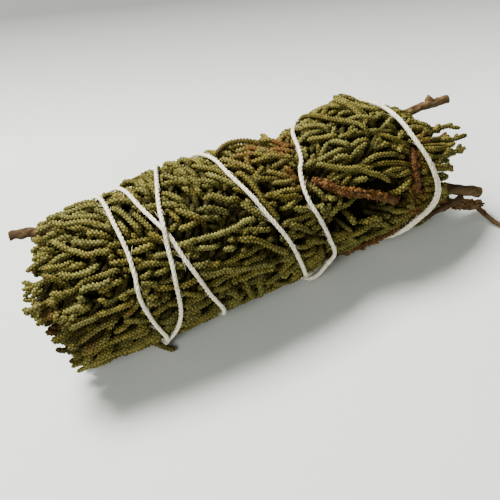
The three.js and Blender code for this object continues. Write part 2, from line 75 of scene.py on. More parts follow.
# Route of the one string: turn round the bundle in degrees, place along X
STRING_ROUTE = np.array([
    [-270, 33.8], [-180, 32.0], [-125, 35.4], [-109, 37.8], [-98, 40.8], [-86, 42.8],
    [-72, 43.4], [-50, 42.8], [-30, 41.6], [-10, 41.2], [10, 40.5], [35, 37.6],
    [60, 35.0], [110, 31.0], [160, 24.0], [210, 17.5], [222, 14.5], [229, 12.2],
    [238, 10.2], [266, 7.7], [292, 5.5], [313, 3.1], [330, 1.7], [352, 0.0],
    [375, -0.2], [420, -2.0], [480, -5.0], [540, -8.0], [604, -10.4], [636, -13.8],
    [655, -15.5], [669, -16.6], [687, -17.4], [700, -18.5], [717, -19.5], [750, -19.8],
    [800, -21.5], [880, -22.5], [955, -23.2], [994, -26.4], [1014, -27.4], [1031, -26.7],
    [1049, -26.1], [1071, -25.7], [1105, -24.6], [1160, -24.4], [1240, -23.5],
    [1320, -22.2], [1331, -21.5], [1349, -20.4], [1372, -19.9], [1386, -19.3],
    [1403, -18.5], [1419, -17.3], [1436, -15.4], [1455, -12.9], [1510, -7.0],
    [1580, 1.0], [1640, 9.0], [1654, 11.0], [1668, 13.2], [1678, 15.2], [1692, 17.0],
    [1716, 15.5], [1735, 14.3], [1754, 13.1], [1766, 13.3], [1781, 14.7], [1789, 16.3],
    [1802, 17.8], [1825, 20.0], [1846, 23.5], [1890, 29.0], [1930, 32.0], [1980, 31.0],
    [2035, 34.1], [2051, 36.5], [2062, 39.5], [2074, 41.5], [2088, 42.1], [2110, 41.5],
    [2130, 40.3], [2150, 39.9], [2170, 39.2], [2195, 36.3], [2220, 33.7], [2250, 31.2],
])

# Camera: direction it looks, roll, size of the frame and focal length in pixels, width of the sensor, point
# it looks at and the pixel where that lies, distance, and the nearest and farthest it shows in metres
CAMERA_AZIMUTH = 26 * DEGREE
CAMERA_HEIGHT = 46 * DEGREE
CAMERA_ROLL = 5.5 * DEGREE
FRAME_PIXELS = 500
FOCAL_PIXELS = 1050
SENSOR_WIDTH = 36
LOOK_AT = np.array([0.0, 0.0, 16.0])
LOOK_PIXEL = (228, 226)
CAMERA_DISTANCE = 228
CAMERA_CLIP = (0.01, 10)


def camera_place():
    """Position of the camera in the bundle's frame, and its right, up and back directions."""
    ahead = np.array([math.sin(CAMERA_AZIMUTH), math.cos(CAMERA_AZIMUTH), 0.0])
    look = math.cos(CAMERA_HEIGHT) * ahead - math.sin(CAMERA_HEIGHT) * np.array([0.0, 0.0, 1.0])
    level = np.array([math.cos(CAMERA_AZIMUTH), -math.sin(CAMERA_AZIMUTH), 0.0])
    above = np.cross(level, look)
    right = math.cos(CAMERA_ROLL) * level - math.sin(CAMERA_ROLL) * above
    up = math.sin(CAMERA_ROLL) * level + math.cos(CAMERA_ROLL) * above
    off_right = (LOOK_PIXEL[0] - FRAME_PIXELS / 2) / FOCAL_PIXELS
    off_up = -(LOOK_PIXEL[1] - FRAME_PIXELS / 2) / FOCAL_PIXELS
    spot = LOOK_AT - CAMERA_DISTANCE * (look + off_right * right + off_up * up)
    return spot, right, up, -look


def add_camera():
    spot, right, up, back = camera_place()
    data = bpy.data.cameras.new("camera")
    data.sensor_width = SENSOR_WIDTH
    data.lens = FOCAL_PIXELS * SENSOR_WIDTH / FRAME_PIXELS
    data.clip_start, data.clip_end = CAMERA_CLIP
    camera = bpy.data.objects.new("camera", data)
    turn = Matrix([Vector(row) for row in np.column_stack([right, up, back])]).to_4x4()
    camera.matrix_world = Matrix.Translation(Vector((spot + TO_ORIGIN) * MM)) @ turn
    bpy.context.collection.objects.link(camera)
    bpy.context.scene.camera = camera


add_camera()


def mix(a, b, t):
    return a + (b - a) * t


def ease(low, high, value):
    t = np.clip((value - low) / (high - low), 0, 1)
    return t * t * (3 - 2 * t)


# A seeded row of numbers between 0 and 1
WORD = 0xFFFFFFFF
WORD_STEP = 0x6D2B79F5


def seeded(seed):
    state = seed & WORD

    def draw():
        nonlocal state
        state = (state + WORD_STEP) & WORD
        t = state
        t = ((t ^ (t >> 15)) * (t | 1)) & WORD
        t ^= (t + (((t ^ (t >> 7)) * (t | 61)) & WORD)) & WORD
        return ((t ^ (t >> 14)) & WORD) / (WORD + 1)

    return draw


def smooth(rows, u):
    """Smooth curve through rows whose first column rises; one column for each that follows."""
    rows = np.asarray(rows, float)
    u = np.asarray(u, float)
    last = len(rows) - 1
    k = np.searchsorted(rows[1:last, 0], u, side="left")
    before = rows[np.maximum(k - 1, 0)]
    start = rows[k]
    stop = rows[k + 1]
    after = rows[np.minimum(k + 2, last)]
    span = stop[..., 0] - start[..., 0]
    t = np.clip((u - start[..., 0]) / span, 0, 1)
    bend = t * t * (3 - 2 * t)
    found = []
    for c in range(1, rows.shape[1]):
        slope_from = (stop[..., c] - before[..., c]) / (stop[..., 0] - before[..., 0]) * span
        slope_to = (after[..., c] - start[..., c]) / (after[..., 0] - start[..., 0]) * span
        ends = (t**3 - 2 * t * t + t) * slope_from + (t**3 - t * t) * slope_to
        found.append(mix(start[..., c], stop[..., c], bend) + ends)
    return found


# Height of the outside where it is pressed flat underneath
FLAT_HEIGHT = 0.7


def to_level(x, turn, level):
    """Distance from the middle line down to a level height, endless where the turn points up."""
    down = -np.cos(turn)
    height = smooth(OUTLINE, x)[2]
    return np.where(down > 0, (height - level) / np.maximum(down, TINY), np.inf)


def reach(x, turn):
    """Distance from the middle line to the outside, flattened underneath."""
    return np.minimum(smooth(OUTLINE, x)[0], to_level(x, turn, FLAT_HEIGHT))


def place(x, turn, distance):
    """Points at a turn from the top toward the viewer's side, at a distance from the middle line."""
    _, side, height = smooth(OUTLINE, x)
    x = np.broadcast_to(x, np.shape(side))
    return np.stack([x, side - distance * np.sin(turn), height + distance * np.cos(turn)], -1)


def turn_gap(a, b):
    gap = np.mod(a - b, FULL_TURN)
    return np.minimum(gap, FULL_TURN - gap)


# The string's route on the outline at short steps, how far along X strands are looked for, and the usual
# radius of the bundle
MARK_STEP = 4
MARK_WOUND = np.arange(STRING_ROUTE[0, 0], STRING_ROUTE[-1, 0] + 1, MARK_STEP)
MARK_X = smooth(STRING_ROUTE, MARK_WOUND)[0]
MARK_TURN = -MARK_WOUND * DEGREE
MARK_RADIUS = reach(MARK_X, MARK_TURN)
NEAR = 12
USUAL_RADIUS = 16

# Places where a later strand crosses an earlier one, and how far it rises there
CROSSING_GAP = 0.9
CROSSING_LIFT = 1.35
CROSSING_REACH = 3.2


def find_crossings():
    closest = np.full(len(MARK_WOUND), np.inf)
    for j in range(len(MARK_WOUND)):
        earlier = MARK_WOUND[j] - MARK_WOUND[:j] >= HALF_TURN
        along = MARK_X[j] - MARK_X[:j]
        near = earlier & (np.abs(along) <= NEAR)
        if near.any():
            round_ = turn_gap(MARK_TURN[j], MARK_TURN[:j]) * MARK_RADIUS[j]
            closest[j] = np.hypot(along, round_)[near].min()
    found = []
    for j in range(1, len(closest) - 1):
        lowest = closest[j] <= closest[j - 1] and closest[j] < closest[j + 1]
        if lowest and closest[j] < CROSSING_GAP:
            found.append(j)
    return found


CROSSINGS = find_crossings()


def lift(wound):
    most = np.zeros_like(wound)
    for j in CROSSINGS:
        along = (wound - MARK_WOUND[j]) * DEGREE * MARK_RADIUS[j]
        most = np.maximum(most, CROSSING_LIFT * np.exp(-((along / CROSSING_REACH) ** 2)))
    return most


def from_string(x, turn):
    """Distance over the outside to the nearest strand of the string."""
    best = np.full(np.shape(x), np.inf)
    for mark_x, mark_turn, mark_radius in zip(MARK_X, MARK_TURN, MARK_RADIUS):
        along = x - mark_x
        near = np.abs(along) <= NEAR
        if not near.any():
            continue
        round_ = turn_gap(turn[near], mark_turn) * mark_radius
        best[near] = np.minimum(best[near], along[near] ** 2 + round_**2)
    return np.sqrt(best)


# Loose rust twigs in the outer layer: radius, then place, turn in degrees, depth
RUST_TWIGS = {
    "rust_twig_1": (1.0, [
        [16.5, 29, 2.6], [18.6, 38, 1.5], [21.0, 50, 1.0], [25.0, 60, 0.9], [29.0, 70, 1.0],
        [32.5, 80, 1.9],
    ]),
    "rust_twig_2": (0.8, [[40.2, 38, 2.8], [38.6, 50, 1.6], [37.7, 64, 1.1], [37.3, 80, 1.8]]),
    "rust_twig_3": (0.8, [
        [21.0, 127, 1.3], [27.0, 120, 1.0], [33.0, 114, 1.5], [35.5, 111, 2.8], [39.0, 107, 3.0],
        [42.0, 103, 2.9], [47.0, 99, 2.2],
    ]),
}

# Woody stems in millimetres: radius at each end, then the route
STEMS = {
    "stem_top": ((0.7, 1.0), [
        [26, -2.2, 30.6], [36, -2.2, 29.4], [42, -1.6, 27.7], [50, -1.0, 26.6], [57.8, -0.5, 25.2],
    ]),
    "stem_thick": ((1.0, 1.3), [
        [24, -8.0, 15.6], [34, -8.6, 15.4], [42, -9.6, 13.5], [48.7, -13.0, 11.8], [57.0, -15.4, 8.2],
    ]),
    "stem_rough": ((1.0, 1.25), [
        [23, -6.0, 11.6], [33, -6.8, 11.8], [42, -7.9, 10.6], [50.7, -13.0, 6.2], [57.9, -15.0, 3.3],
    ]),
    "stem_inner_1": ((1.0, 1.5), [
        [22, -0.6, 19.6], [32, -0.8, 20.8], [42, -2.4, 19.2], [51.5, -4.0, 17.0],
    ]),
    "stem_inner_2": ((0.9, 1.4), [
        [23, 2.8, 17.6], [33, 2.6, 18.6], [42, 1.0, 17.0], [50.0, -0.5, 15.0],
    ]),
    "stem_inner_3": ((1.1, 1.6), [
        [24, 0.3, 12.2], [33, 0.2, 13.4], [42, -1.2, 11.8], [52.5, -3.0, 9.4],
    ]),
}

# Side branch of the rough stem, and a knob on the top stem, given as the stems are
ROUGH_BRANCH = ((0.6, 0.5), [
    [56.6, -14.6, 3.8], [57.2, -17.2, 3.0], [57.7, -19.8, 2.4], [58.8, -22.4, 2.0], [60.6, -26.4, 1.9],
])
TOP_KNOB = ((0.95, 0.8), [[53.4, -0.5, 25.9], [53.1, -0.1, 26.8], [52.6, 0.2, 27.3]])

# Stems in the outer layer: radius at each end, then place, turn in degrees, depth
OUTER_STEMS = {
    "stem_low": ((0.5, 0.75), [
        [18, 137, 2.0], [23, 134, 1.2], [28, 131, 1.5], [31.5, 128, 2.6], [37, 124, 2.6],
        [40.5, 120, 1.8], [46, 114, 1.2], [52, 110, 1.0],
    ]),
    "stub_left": ((0.95, 1.0), [
        [-31, -19, 4.0], [-36, -24, 2.2], [-39.5, -29, 0.5], [-43.6, -35.5, -1.2],
    ]),
}

# How far the tips reach round both ends of the bundle: turn in degrees, place along X
LEFT_END = np.array([
    [-180, -39.5], [-120, -38], [-60, -37], [-40, -37.3], [-20, -39], [0, -42], [20, -45],
    [40, -46.5], [60, -45.8], [80, -44.6], [100, -42.6], [130, -41], [180, -39.5],
])
RIGHT_END = np.array([
    [-180, 43.5], [-60, 43.5], [-20, 44], [0, 46.5], [15, 50], [30, 51.5], [45, 50.5],
    [60, 47], [80, 45.5], [100, 44.5], [130, 43], [180, 43.5],
])

# The two tiers of sprays: leafy tips at -X, and the stem end at +X
SPLIT = 5
TIERS = {
    "left": {
        "sectors": 9, "start": -20 * DEGREE, "ends": LEFT_END, "far": -40, "way": -1,
        "slices": 5, "ridges": 4, "tips": 7, "seed": 100,
        "lean_middle": 0, "lean_turn": -38 * DEGREE, "lean_from": -4, "lean_to": -36,
        "rows": [(2.5, -1), (-7, -1), (-17, -1), (-26, -1)],
    },
    "right": {
        "sectors": 7, "start": -5 * DEGREE, "ends": RIGHT_END, "far": 46, "way": 1,
        "slices": 4, "ridges": 4, "tips": 5, "seed": 500,
        "lean_middle": 15 * DEGREE, "lean_turn": 24 * DEGREE, "lean_from": 10, "lean_to": 46,
        "rows": [(15.5, -1), (12, 1), (23, 1), (33, 1)],
    },
}
LEAN_WIDTH = 60 * DEGREE


def lean(tier, x, turn):
    near = np.exp(-((turn_gap(turn, tier["lean_middle"]) / LEAN_WIDTH) ** 2))
    along = (x - tier["lean_from"]) / (tier["lean_to"] - tier["lean_from"])
    return tier["lean_turn"] * near * ease(0, 1, along)


def end_at(tier, turn):
    """Where the tips of a tier end at a turn."""
    return smooth(tier["ends"], np.mod(turn / DEGREE + HALF_TURN, 2 * HALF_TURN) - HALF_TURN)[0]


def end_of(tier, turn):
    """Where the tips end for the turn that cords have before they lean."""
    return end_at(tier, turn + lean(tier, tier["far"], turn))


# Ovals over the outside, by middle and half sizes: the dark gap beside the thick rust twig, and the top in
# the middle, where the cords run across the bundle and only some lie lengthwise
GAP = {"x": 25.8, "turn": 70 * DEGREE, "along": 8.5, "round": 4.4}
CROSSWISE = {"x": -9, "turn": -2 * DEGREE, "along": 15, "round": 11}
CROSSWISE_MOST = 0.3


def from_middle(oval, x, turn):
    """How far a place is from the middle of an oval, where the edge is 1."""
    along = (x - oval["x"]) / oval["along"]
    round_ = turn_gap(turn, oval["turn"]) * USUAL_RADIUS / oval["round"]
    return np.hypot(along, round_)


def share_within(oval, flat):
    """Share of the points of a flat route that lie in an oval."""
    return (from_middle(oval, flat[:, 0], flat[:, 1] / USUAL_RADIUS) < 1).mean()


# Single cords that stand out further: side, sector, then place, turn in degrees, distance
EXTRA_CORDS = [
    ("left", 4, [[-30, 160, 11.5], [-26, 154, 16.6], [-21.8, 140.5, 20.2]]),
    ("right", 6, [[40, 5, 9.5], [48, 7, 10], [55.5, 8, 9.6]]),
    ("right", 0, [[40, 27, 9.5], [48, 30, 10.4], [56.4, 31, 10.2]]),
    ("right", 0, [[40, 41, 9.2], [48, 44, 10], [55, 46, 9.6]]),
    ("left", 1, [[-34, 26, 9], [-40, 22, 10.2], [-46.6, 15, 11.6]]),
    ("left", 1, [[-35, 37, 11.6], [-42, 38.5, 12.8], [-48.4, 39.5, 13.6]]),
]

# Grid over the outside, for the distance of what lies there
CELL = 0.4
LAST_CELL = 1.001
GRID_FROM = -56.0
GRID_TO = 64.0
GRID_ROWS = int((GRID_TO - GRID_FROM) / CELL) + 1
GRID_TURNS = 264
GRID_X, GRID_TURN = np.meshgrid(
    GRID_FROM + CELL * np.arange(GRID_ROWS),
    FULL_TURN / GRID_TURNS * np.arange(GRID_TURNS),
    indexing="ij",
)

# Groove pressed in by the string, and the room kept for twigs and stems
GROOVE_DEPTH = 1.0
GROOVE_FLAT = 0.3
GROOVE_REACH = 0.9
TWIG_FLAT = 1.0
TWIG_FADE = 0.9
UNDER_SHARE = 1.7
BED_SAMPLES = 40
TABLE_GAP = 0.05


def groove(gap, depth, flat, fade):
    return depth * np.exp(-((np.maximum(0, gap - flat) / fade) ** 2))


def envelope():
    """Distance from the middle line that leafy cords may reach, over the grid."""
    outside = reach(GRID_X, GRID_TURN)
    outside = outside - groove(from_string(GRID_X, GRID_TURN), GROOVE_DEPTH, GROOVE_FLAT, GROOVE_REACH)
    bed = np.zeros_like(outside)
    lying = list(RUST_TWIGS.values())
    lying += [(max(radii), route) for name, (radii, route) in OUTER_STEMS.items() if name != "stub_left"]
    for radius, route in lying:
        route = np.array(route, float)
        for share in np.linspace(0, 1, BED_SAMPLES):
            at = share * (len(route) - 1)
            k = min(int(at), len(route) - 2)
            x, degrees, depth = mix(route[k], route[k + 1], at - k)
            along = GRID_X - x
            round_ = turn_gap(GRID_TURN, degrees * DEGREE) * USUAL_RADIUS
            deep = np.clip(depth + UNDER_SHARE * radius - radius, 0, 2 * radius)
            bed = np.maximum(bed, groove(np.hypot(along, round_), deep, TWIG_FLAT, TWIG_FADE))
    return np.minimum(outside - bed, to_level(GRID_X, GRID_TURN, TABLE_TOP + TABLE_GAP))


CAP = envelope()

# Leafy cords: radius over the scale tips, and the fineness of a path
CORD_RADIUS = 0.7
PATH_STEP = 0.31
LEAST_POINTS = 4
LEAST_FINE = 8

# How a cord settles: how far it sinks into what it lies on, stands above the envelope before it dives, hangs
# below the envelope and dives under others, and over how many points it is smoothed
SINK = 0.1
SLACK = 0.25
SAG = 0.4
DIVE = 1.15
SMOOTH_STEPS = 9

# Depth of roots and of the inside below the envelope, and the length over which a root rises
ROOT_DEPTH = 4.4
ROOT_LENGTH = 3.4
CORE_DEPTH = 3.6

# Distance of what lies over each cell so far, and the cells that a cord covers, with its rise over each
top = CAP - CORE_DEPTH
FOOT = [
    (di, dj, math.sqrt(CORD_RADIUS**2 - CELL**2 * (di * di + dj * dj)))
    for di in range(-2, 3)
    for dj in range(-2, 3)
    if CELL**2 * (di * di + dj * dj) < CORD_RADIUS**2
]


def cells(x, turn):
    i = np.clip(np.rint((x - GRID_FROM) / CELL).astype(int), 2, GRID_ROWS - 3)
    j = np.rint(turn / FULL_TURN * GRID_TURNS).astype(int)
    return i, j


def cap_at(x, turn):
    """The envelope between the points of the grid."""
    u = np.clip((x - GRID_FROM) / CELL, 0, GRID_ROWS - LAST_CELL)
    v = np.mod(turn, FULL_TURN) / FULL_TURN * GRID_TURNS
    i = u.astype(int)
    j = v.astype(int) % GRID_TURNS
    k = (j + 1) % GRID_TURNS
    s = u - i
    t = v - np.floor(v)
    near = mix(CAP[i, j], CAP[i, k], t)
    far = mix(CAP[i + 1, j], CAP[i + 1, k], t)
    return mix(near, far, s)


def settle(x, turn, ceiling=0.0, root=True, sag=SAG):
    """Distance from the middle line of a cord that lies over or dives under what is there."""
    i, j = cells(x, turn)
    need = np.full(len(x), -np.inf)
    for di, dj, rise in FOOT:
        need = np.maximum(need, top[i + di, (j + dj) % GRID_TURNS] + rise)
    need -= SINK
    free = cap_at(x, turn) - CORD_RADIUS - ceiling
    over = need <= free + SLACK
    level = np.where(over, np.clip(need, free - sag, free), free - DIVE)
    if len(level) > SMOOTH_STEPS:
        kernel = np.hanning(SMOOTH_STEPS + 2)[1:-1]
        padded = np.pad(level, SMOOTH_STEPS // 2, mode="edge")
        level = np.convolve(padded, kernel / kernel.sum(), mode="valid")
        level = np.minimum(level, free)
    if root:
        along = PATH_STEP * np.arange(len(x))
        deep = cap_at(x, turn) - ROOT_DEPTH
        level = mix(deep, level, ease(0, ROOT_LENGTH, along))
    return level, over


def deposit(x, turn, level):
    i, j = cells(x, turn)
    for di, dj, rise in FOOT:
        np.maximum.at(top, (i + di, (j + dj) % GRID_TURNS), level + rise)


def even_path(points, step=PATH_STEP):
    """Points at even steps on a smooth curve through rows of points, in two or three columns."""
    points = np.asarray(points, float)
    legs = np.linalg.norm(np.diff(points, axis=0), axis=1)
    run = np.concatenate([[0], np.cumsum(np.maximum(legs, TINY))])
    rows = np.column_stack([run, points])
    fine = np.linspace(0, run[-1], max(LEAST_FINE, int(run[-1] / step * 2)))
    curve = np.column_stack(smooth(rows, fine))
    length = np.concatenate([[0], np.cumsum(np.linalg.norm(np.diff(curve, axis=0), axis=1))])
    count = max(LEAST_POINTS, int(round(length[-1] / step)) + 1)
    even = np.linspace(0, length[-1], count)
    return np.column_stack([np.interp(even, length, curve[:, c]) for c in range(curve.shape[1])])


class Skin:
    """The points, faces and leaf colours that make up one piece."""

    def __init__(self):
        self.points = []
        self.faces = []
        self.colours = []
        self.soft = []
        self.count = 0

    def add(self, points, faces, colours, soft):
        points = points.reshape(-1, 3)
        self.points.append(points)
        self.faces.append(np.asarray(faces).reshape(-1, 3) + self.count)
        self.colours.append(np.broadcast_to(colours, (len(points), 3)))
        self.soft.append(np.full(len(self.faces[-1]), soft))
        self.count += len(points)

    def piece(self, name, material, node, slot):
        """Makes the piece that stands for a node, with a material, and hides the node's part; the slot is
        not used.
        """
        points = (np.concatenate(self.points) + TO_ORIGIN) * MM
        faces = np.concatenate(self.faces)
        colours = np.concatenate(self.colours)
        mesh = bpy.data.meshes.new(name)
        mesh.vertices.add(len(points))
        mesh.vertices.foreach_set("co", points.astype(np.float32).ravel())
        mesh.loops.add(3 * len(faces))
        mesh.loops.foreach_set("vertex_index", faces.astype(np.int32).ravel())
        mesh.polygons.add(len(faces))
        mesh.polygons.foreach_set("loop_start", np.arange(0, 3 * len(faces), 3, dtype=np.int32))
        mesh.polygons.foreach_set("use_smooth", np.concatenate(self.soft).astype(bool))
        mesh.update(calc_edges=True)
        leaf = mesh.attributes.new("leaf", "FLOAT_COLOR", "POINT")
        rgba = np.column_stack([colours, np.ones(len(points))])
        leaf.data.foreach_set("color", rgba.astype(np.float32).ravel())
        mesh.materials.append(material)
        made = bpy.data.objects.new(name, mesh)
        bpy.context.collection.objects.link(made)
        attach(made, "root")
        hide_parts(node)


def unit(vectors):
    return vectors / np.maximum(np.linalg.norm(vectors, axis=-1, keepdims=True), TINIEST)


def frames(path):
    """Directions ahead, away from the middle line and across, along a path."""
    ahead = unit(np.gradient(path, axis=0))
    _, side, height = smooth(OUTLINE, path[:, 0])
    out = np.column_stack([np.zeros(len(path)), path[:, 1] - side, path[:, 2] - height])
    weak = np.linalg.norm(out, axis=1) < 0.5
    out[weak] = (0, 0, 1)
    across = unit(np.cross(out, ahead))
    return ahead, np.cross(ahead, across), across


def spokes(angle, across, up):
    """Directions at angles round each point of a path."""
    return np.cos(angle)[..., None] * across[:, None] + np.sin(angle)[..., None] * up[:, None]


def end_fans(count, sides):
    """Faces that close both ends of a row of rings, round the two points that follow the rings."""
    ring = np.arange(sides)
    after = (ring + 1) % sides
    middle = count * sides
    last = middle - sides
    start = np.stack([np.full(sides, middle), after, ring], -1)
    stop = np.stack([np.full(sides, middle + 1), last + ring, last + after], -1)
    return np.concatenate([start, stop])


def tube(skin, path, radii, sides, colour, wobble=1.0):
    """A closed tube along a path, with a radius at each point and a wobble at each corner."""
    _, up, across = frames(path)
    angle = FULL_TURN * np.arange(sides) / sides
    radii = np.broadcast_to(radii, len(path))[:, None] * wobble
    rings = path[:, None] + radii[..., None] * spokes(angle, across, up)
    points = np.concatenate([rings.reshape(-1, 3), path[:1], path[-1:]])
    k = np.arange(len(path) - 1)[:, None] * sides
    i = np.arange(sides)[None, :]
    n = (i + 1) % sides
    quads = np.stack([k + i, k + n, k + n + sides, k + i, k + n + sides, k + i + sides], -1)
    faces = np.concatenate([quads.reshape(-1, 3), end_fans(len(path), sides)])
    skin.add(points, faces, colour, True)


# A cord is a closed skin of scale tips that alternate with the notches between them
SCALE_ROWS = 6
SCALE_STEP = 0.375
SCALE_OUT = 0.74
SCALE_IN = 0.50
SCALE_AHEAD = 0.14
SCALE_ROUGH = 0.035
SCALE_TWIST = 0.02

# Swelling along a cord, its rounded tip, and its least height over the table
SWELL = 0.06
SWELL_STEP = 1.4
RING_UNEVEN = 0.03
TIP_TAPER = 1.1
TIP_LEAST = 0.3
TIP_STILL = 0.5
TIP_OUT = 0.12
OFF_TABLE = 0.82

# Tones of the notches and the scale tips, where the dark notches are painted shade, and how uneven tone and
# tint are
SCALE_TONES = (0.15, 0.9)
TONE_ROUGH = 3
TONE_UNEVEN = 0.06
TINT_UNEVEN = 0.05


def leafy(skin, path, random, tint, rust, size=1.0, dark=0.0, rough=SCALE_ROUGH, rows=SCALE_ROWS):
    """A cord covered with small scale leaves, rounded at its tip; rust and dark, a painted shade, may change
    along it.
    """
    path = path.copy()
    path[:, 2] = np.maximum(path[:, 2], TABLE_TOP + OFF_TABLE * size)
    gaps = np.linalg.norm(np.diff(path, axis=0), axis=1)
    run = np.concatenate([[0], np.cumsum(gaps)])
    count = max(LEAST_POINTS, int(run[-1] / (SCALE_STEP * size * SCALE_ROWS / rows)) + 1)
    at = np.linspace(0, run[-1], count)
    left = run[-1] - at
    centre = np.column_stack([np.interp(at, run, path[:, c]) for c in range(3)])
    ahead, up, across = frames(centre)
    ring = np.arange(count)[:, None]
    spot = np.arange(rows)[None, :]
    tip = (ring + spot) % 2 == 0
    near = np.clip(left / TIP_TAPER, 0, 1)
    taper = np.maximum(np.sqrt(near * (2 - near)), TIP_LEAST)
    knots = np.arange(0, run[-1] + SWELL_STEP, SWELL_STEP)
    swell = np.interp(at, knots, random.normal(0, SWELL, len(knots)))
    taper = taper * size * (1 + swell + random.normal(0, RING_UNEVEN, count))
    radius = np.where(tip, SCALE_OUT, SCALE_IN) * taper[:, None]
    radius = radius * (1 + random.normal(0, rough, tip.shape))
    angle = random.uniform(0, FULL_TURN) + FULL_TURN * spot / rows + random.normal(0, SCALE_TWIST) * ring
    shift = np.where(tip, SCALE_AHEAD, 0.0) * size * np.minimum(1, left / TIP_STILL)[:, None]
    rings = centre[:, None] + radius[..., None] * spokes(angle, across, up)
    rings = rings + shift[..., None] * ahead[:, None]
    k = np.arange(count - 1)[:, None]
    a = k * rows + spot
    b = k * rows + (spot + 1) % rows
    c = b + rows
    d = a + rows
    even = ((k + spot) % 2 == 0)[..., None]
    first = np.where(even, np.stack([a, b, d], -1), np.stack([a, b, c], -1))
    second = np.where(even, np.stack([b, c, d], -1), np.stack([a, c, d], -1))
    faces = np.concatenate([first.reshape(-1, 3), second.reshape(-1, 3), end_fans(count, rows)])
    end = centre[-1] + ahead[-1] * TIP_OUT * size
    points = np.concatenate([rings.reshape(-1, 3), centre[:1], end[None]])
    low, high = SCALE_TONES
    # Painted shade: the notches between the scale tips take the low tone, the tips the high one
    tone = np.where(tip, high, low) + random.normal(0, TONE_ROUGH * rough, tip.shape)
    tone = tone + random.normal(0, TONE_UNEVEN)
    # Painted shade: the tone is darkened by dark along the cord
    shade = np.interp(at, run, np.broadcast_to(dark, len(path)))[:, None]
    tone = np.clip(tone * (1 - shade), 0, 1)
    rusty = np.interp(at, run, np.broadcast_to(rust, len(path)))[:, None] * np.ones(rows)
    tints = np.clip(tint + random.normal(0, TINT_UNEVEN, tip.shape), 0, 1)
    colours = np.stack([tone, tints, rusty], -1).reshape(-1, 3)
    colours = np.concatenate([colours, colours[:1], colours[-1:]])
    skin.add(points, faces, colours, True)


# Leaves and inside of each spray; the inside is near-black as painted shade
skins = {
    (side_name, index): Skin()
    for side_name, tier in TIERS.items()
    for index in range(tier["sectors"])
}
inside = {key: Skin() for key in skins}


def sector_of(x, turn):
    """The spray that owns a root at a place and turn."""
    side_name = "left" if x < SPLIT else "right"
    tier = TIERS[side_name]
    width = FULL_TURN / tier["sectors"]
    index = int(np.mod(turn - tier["start"], FULL_TURN) / width) % tier["sectors"]
    return side_name, index


# Rust patches: place, turn in degrees, reach
RUST_SPOTS = [
    (18, -30, 2.5), (14, -10, 2.6), (5, -6, 2.4), (11.5, 20, 2.5), (-11, 34, 1.2), (40, 50, 3.0),
    (44, 25, 2.0), (38, 82, 2.6), (37, 98, 2.2), (13, 26, 2.2), (9, -22, 2.0),
    (-30.5, 71, 1.1), (-44.5, 46, 1.3), (-44.8, 61, 1.5), (-39.5, 84, 1.6),
    (51.5, 16, 2.4), (54, 28, 1.8), (7, -12, 1.8), (16, -14, 2.4),
]
RUST_MIX = (0.3, 1.1)


def rust_at(x, turn):
    most = np.zeros(np.shape(x))
    for spot_x, degrees, wide in RUST_SPOTS:
        gap = np.hypot(x - spot_x, turn_gap(turn, degrees * DEGREE) * USUAL_RADIUS)
        most = np.maximum(most, np.exp(-((gap / wide) ** 2)))
    return most


# Cords that lie deep are darker: painted shade
SHADE_FROM = 0.4
SHADE_DEPTH = 2.0
SHADE_MOST = 0.82

# Some tips stand off: their share, how high, over what length, how near to the string and the underside
LIFT_SHARE = 0.35
LIFT_HIGH = (0.3, 1.3)
LIFT_LENGTH = 4.5
LIFT_CLEAR = (1.0, 2.6)
LIFT_ROUND = (0.9, 1.4)

# Thickness of the cords beside the usual one
CORD_SIZES = (0.84, 1.08)

# Slight kinks of the cords
KINK = 0.2
KINK_STEP = 2.3

# How uneven the cords' tips are at the ends of the bundle, and the shortest cord
END_UNEVEN = 1.3
LEAST_CORD = 2.4

# Points of a cord before it may be cut at what lies on top, and points that a tip runs on under it
CORD_START = 6
UNDER_POINTS = 7


def trimmed(path, over, start, least):
    """How many points of a path stay clear of what already lies on top, from a start."""
    blocked = ~over
    blocked[:start] = False
    run = np.convolve(blocked, np.ones(3), mode="same") >= 3
    count = int(np.argmax(run)) if run.any() else len(path)
    return count if count * PATH_STEP >= least else 0


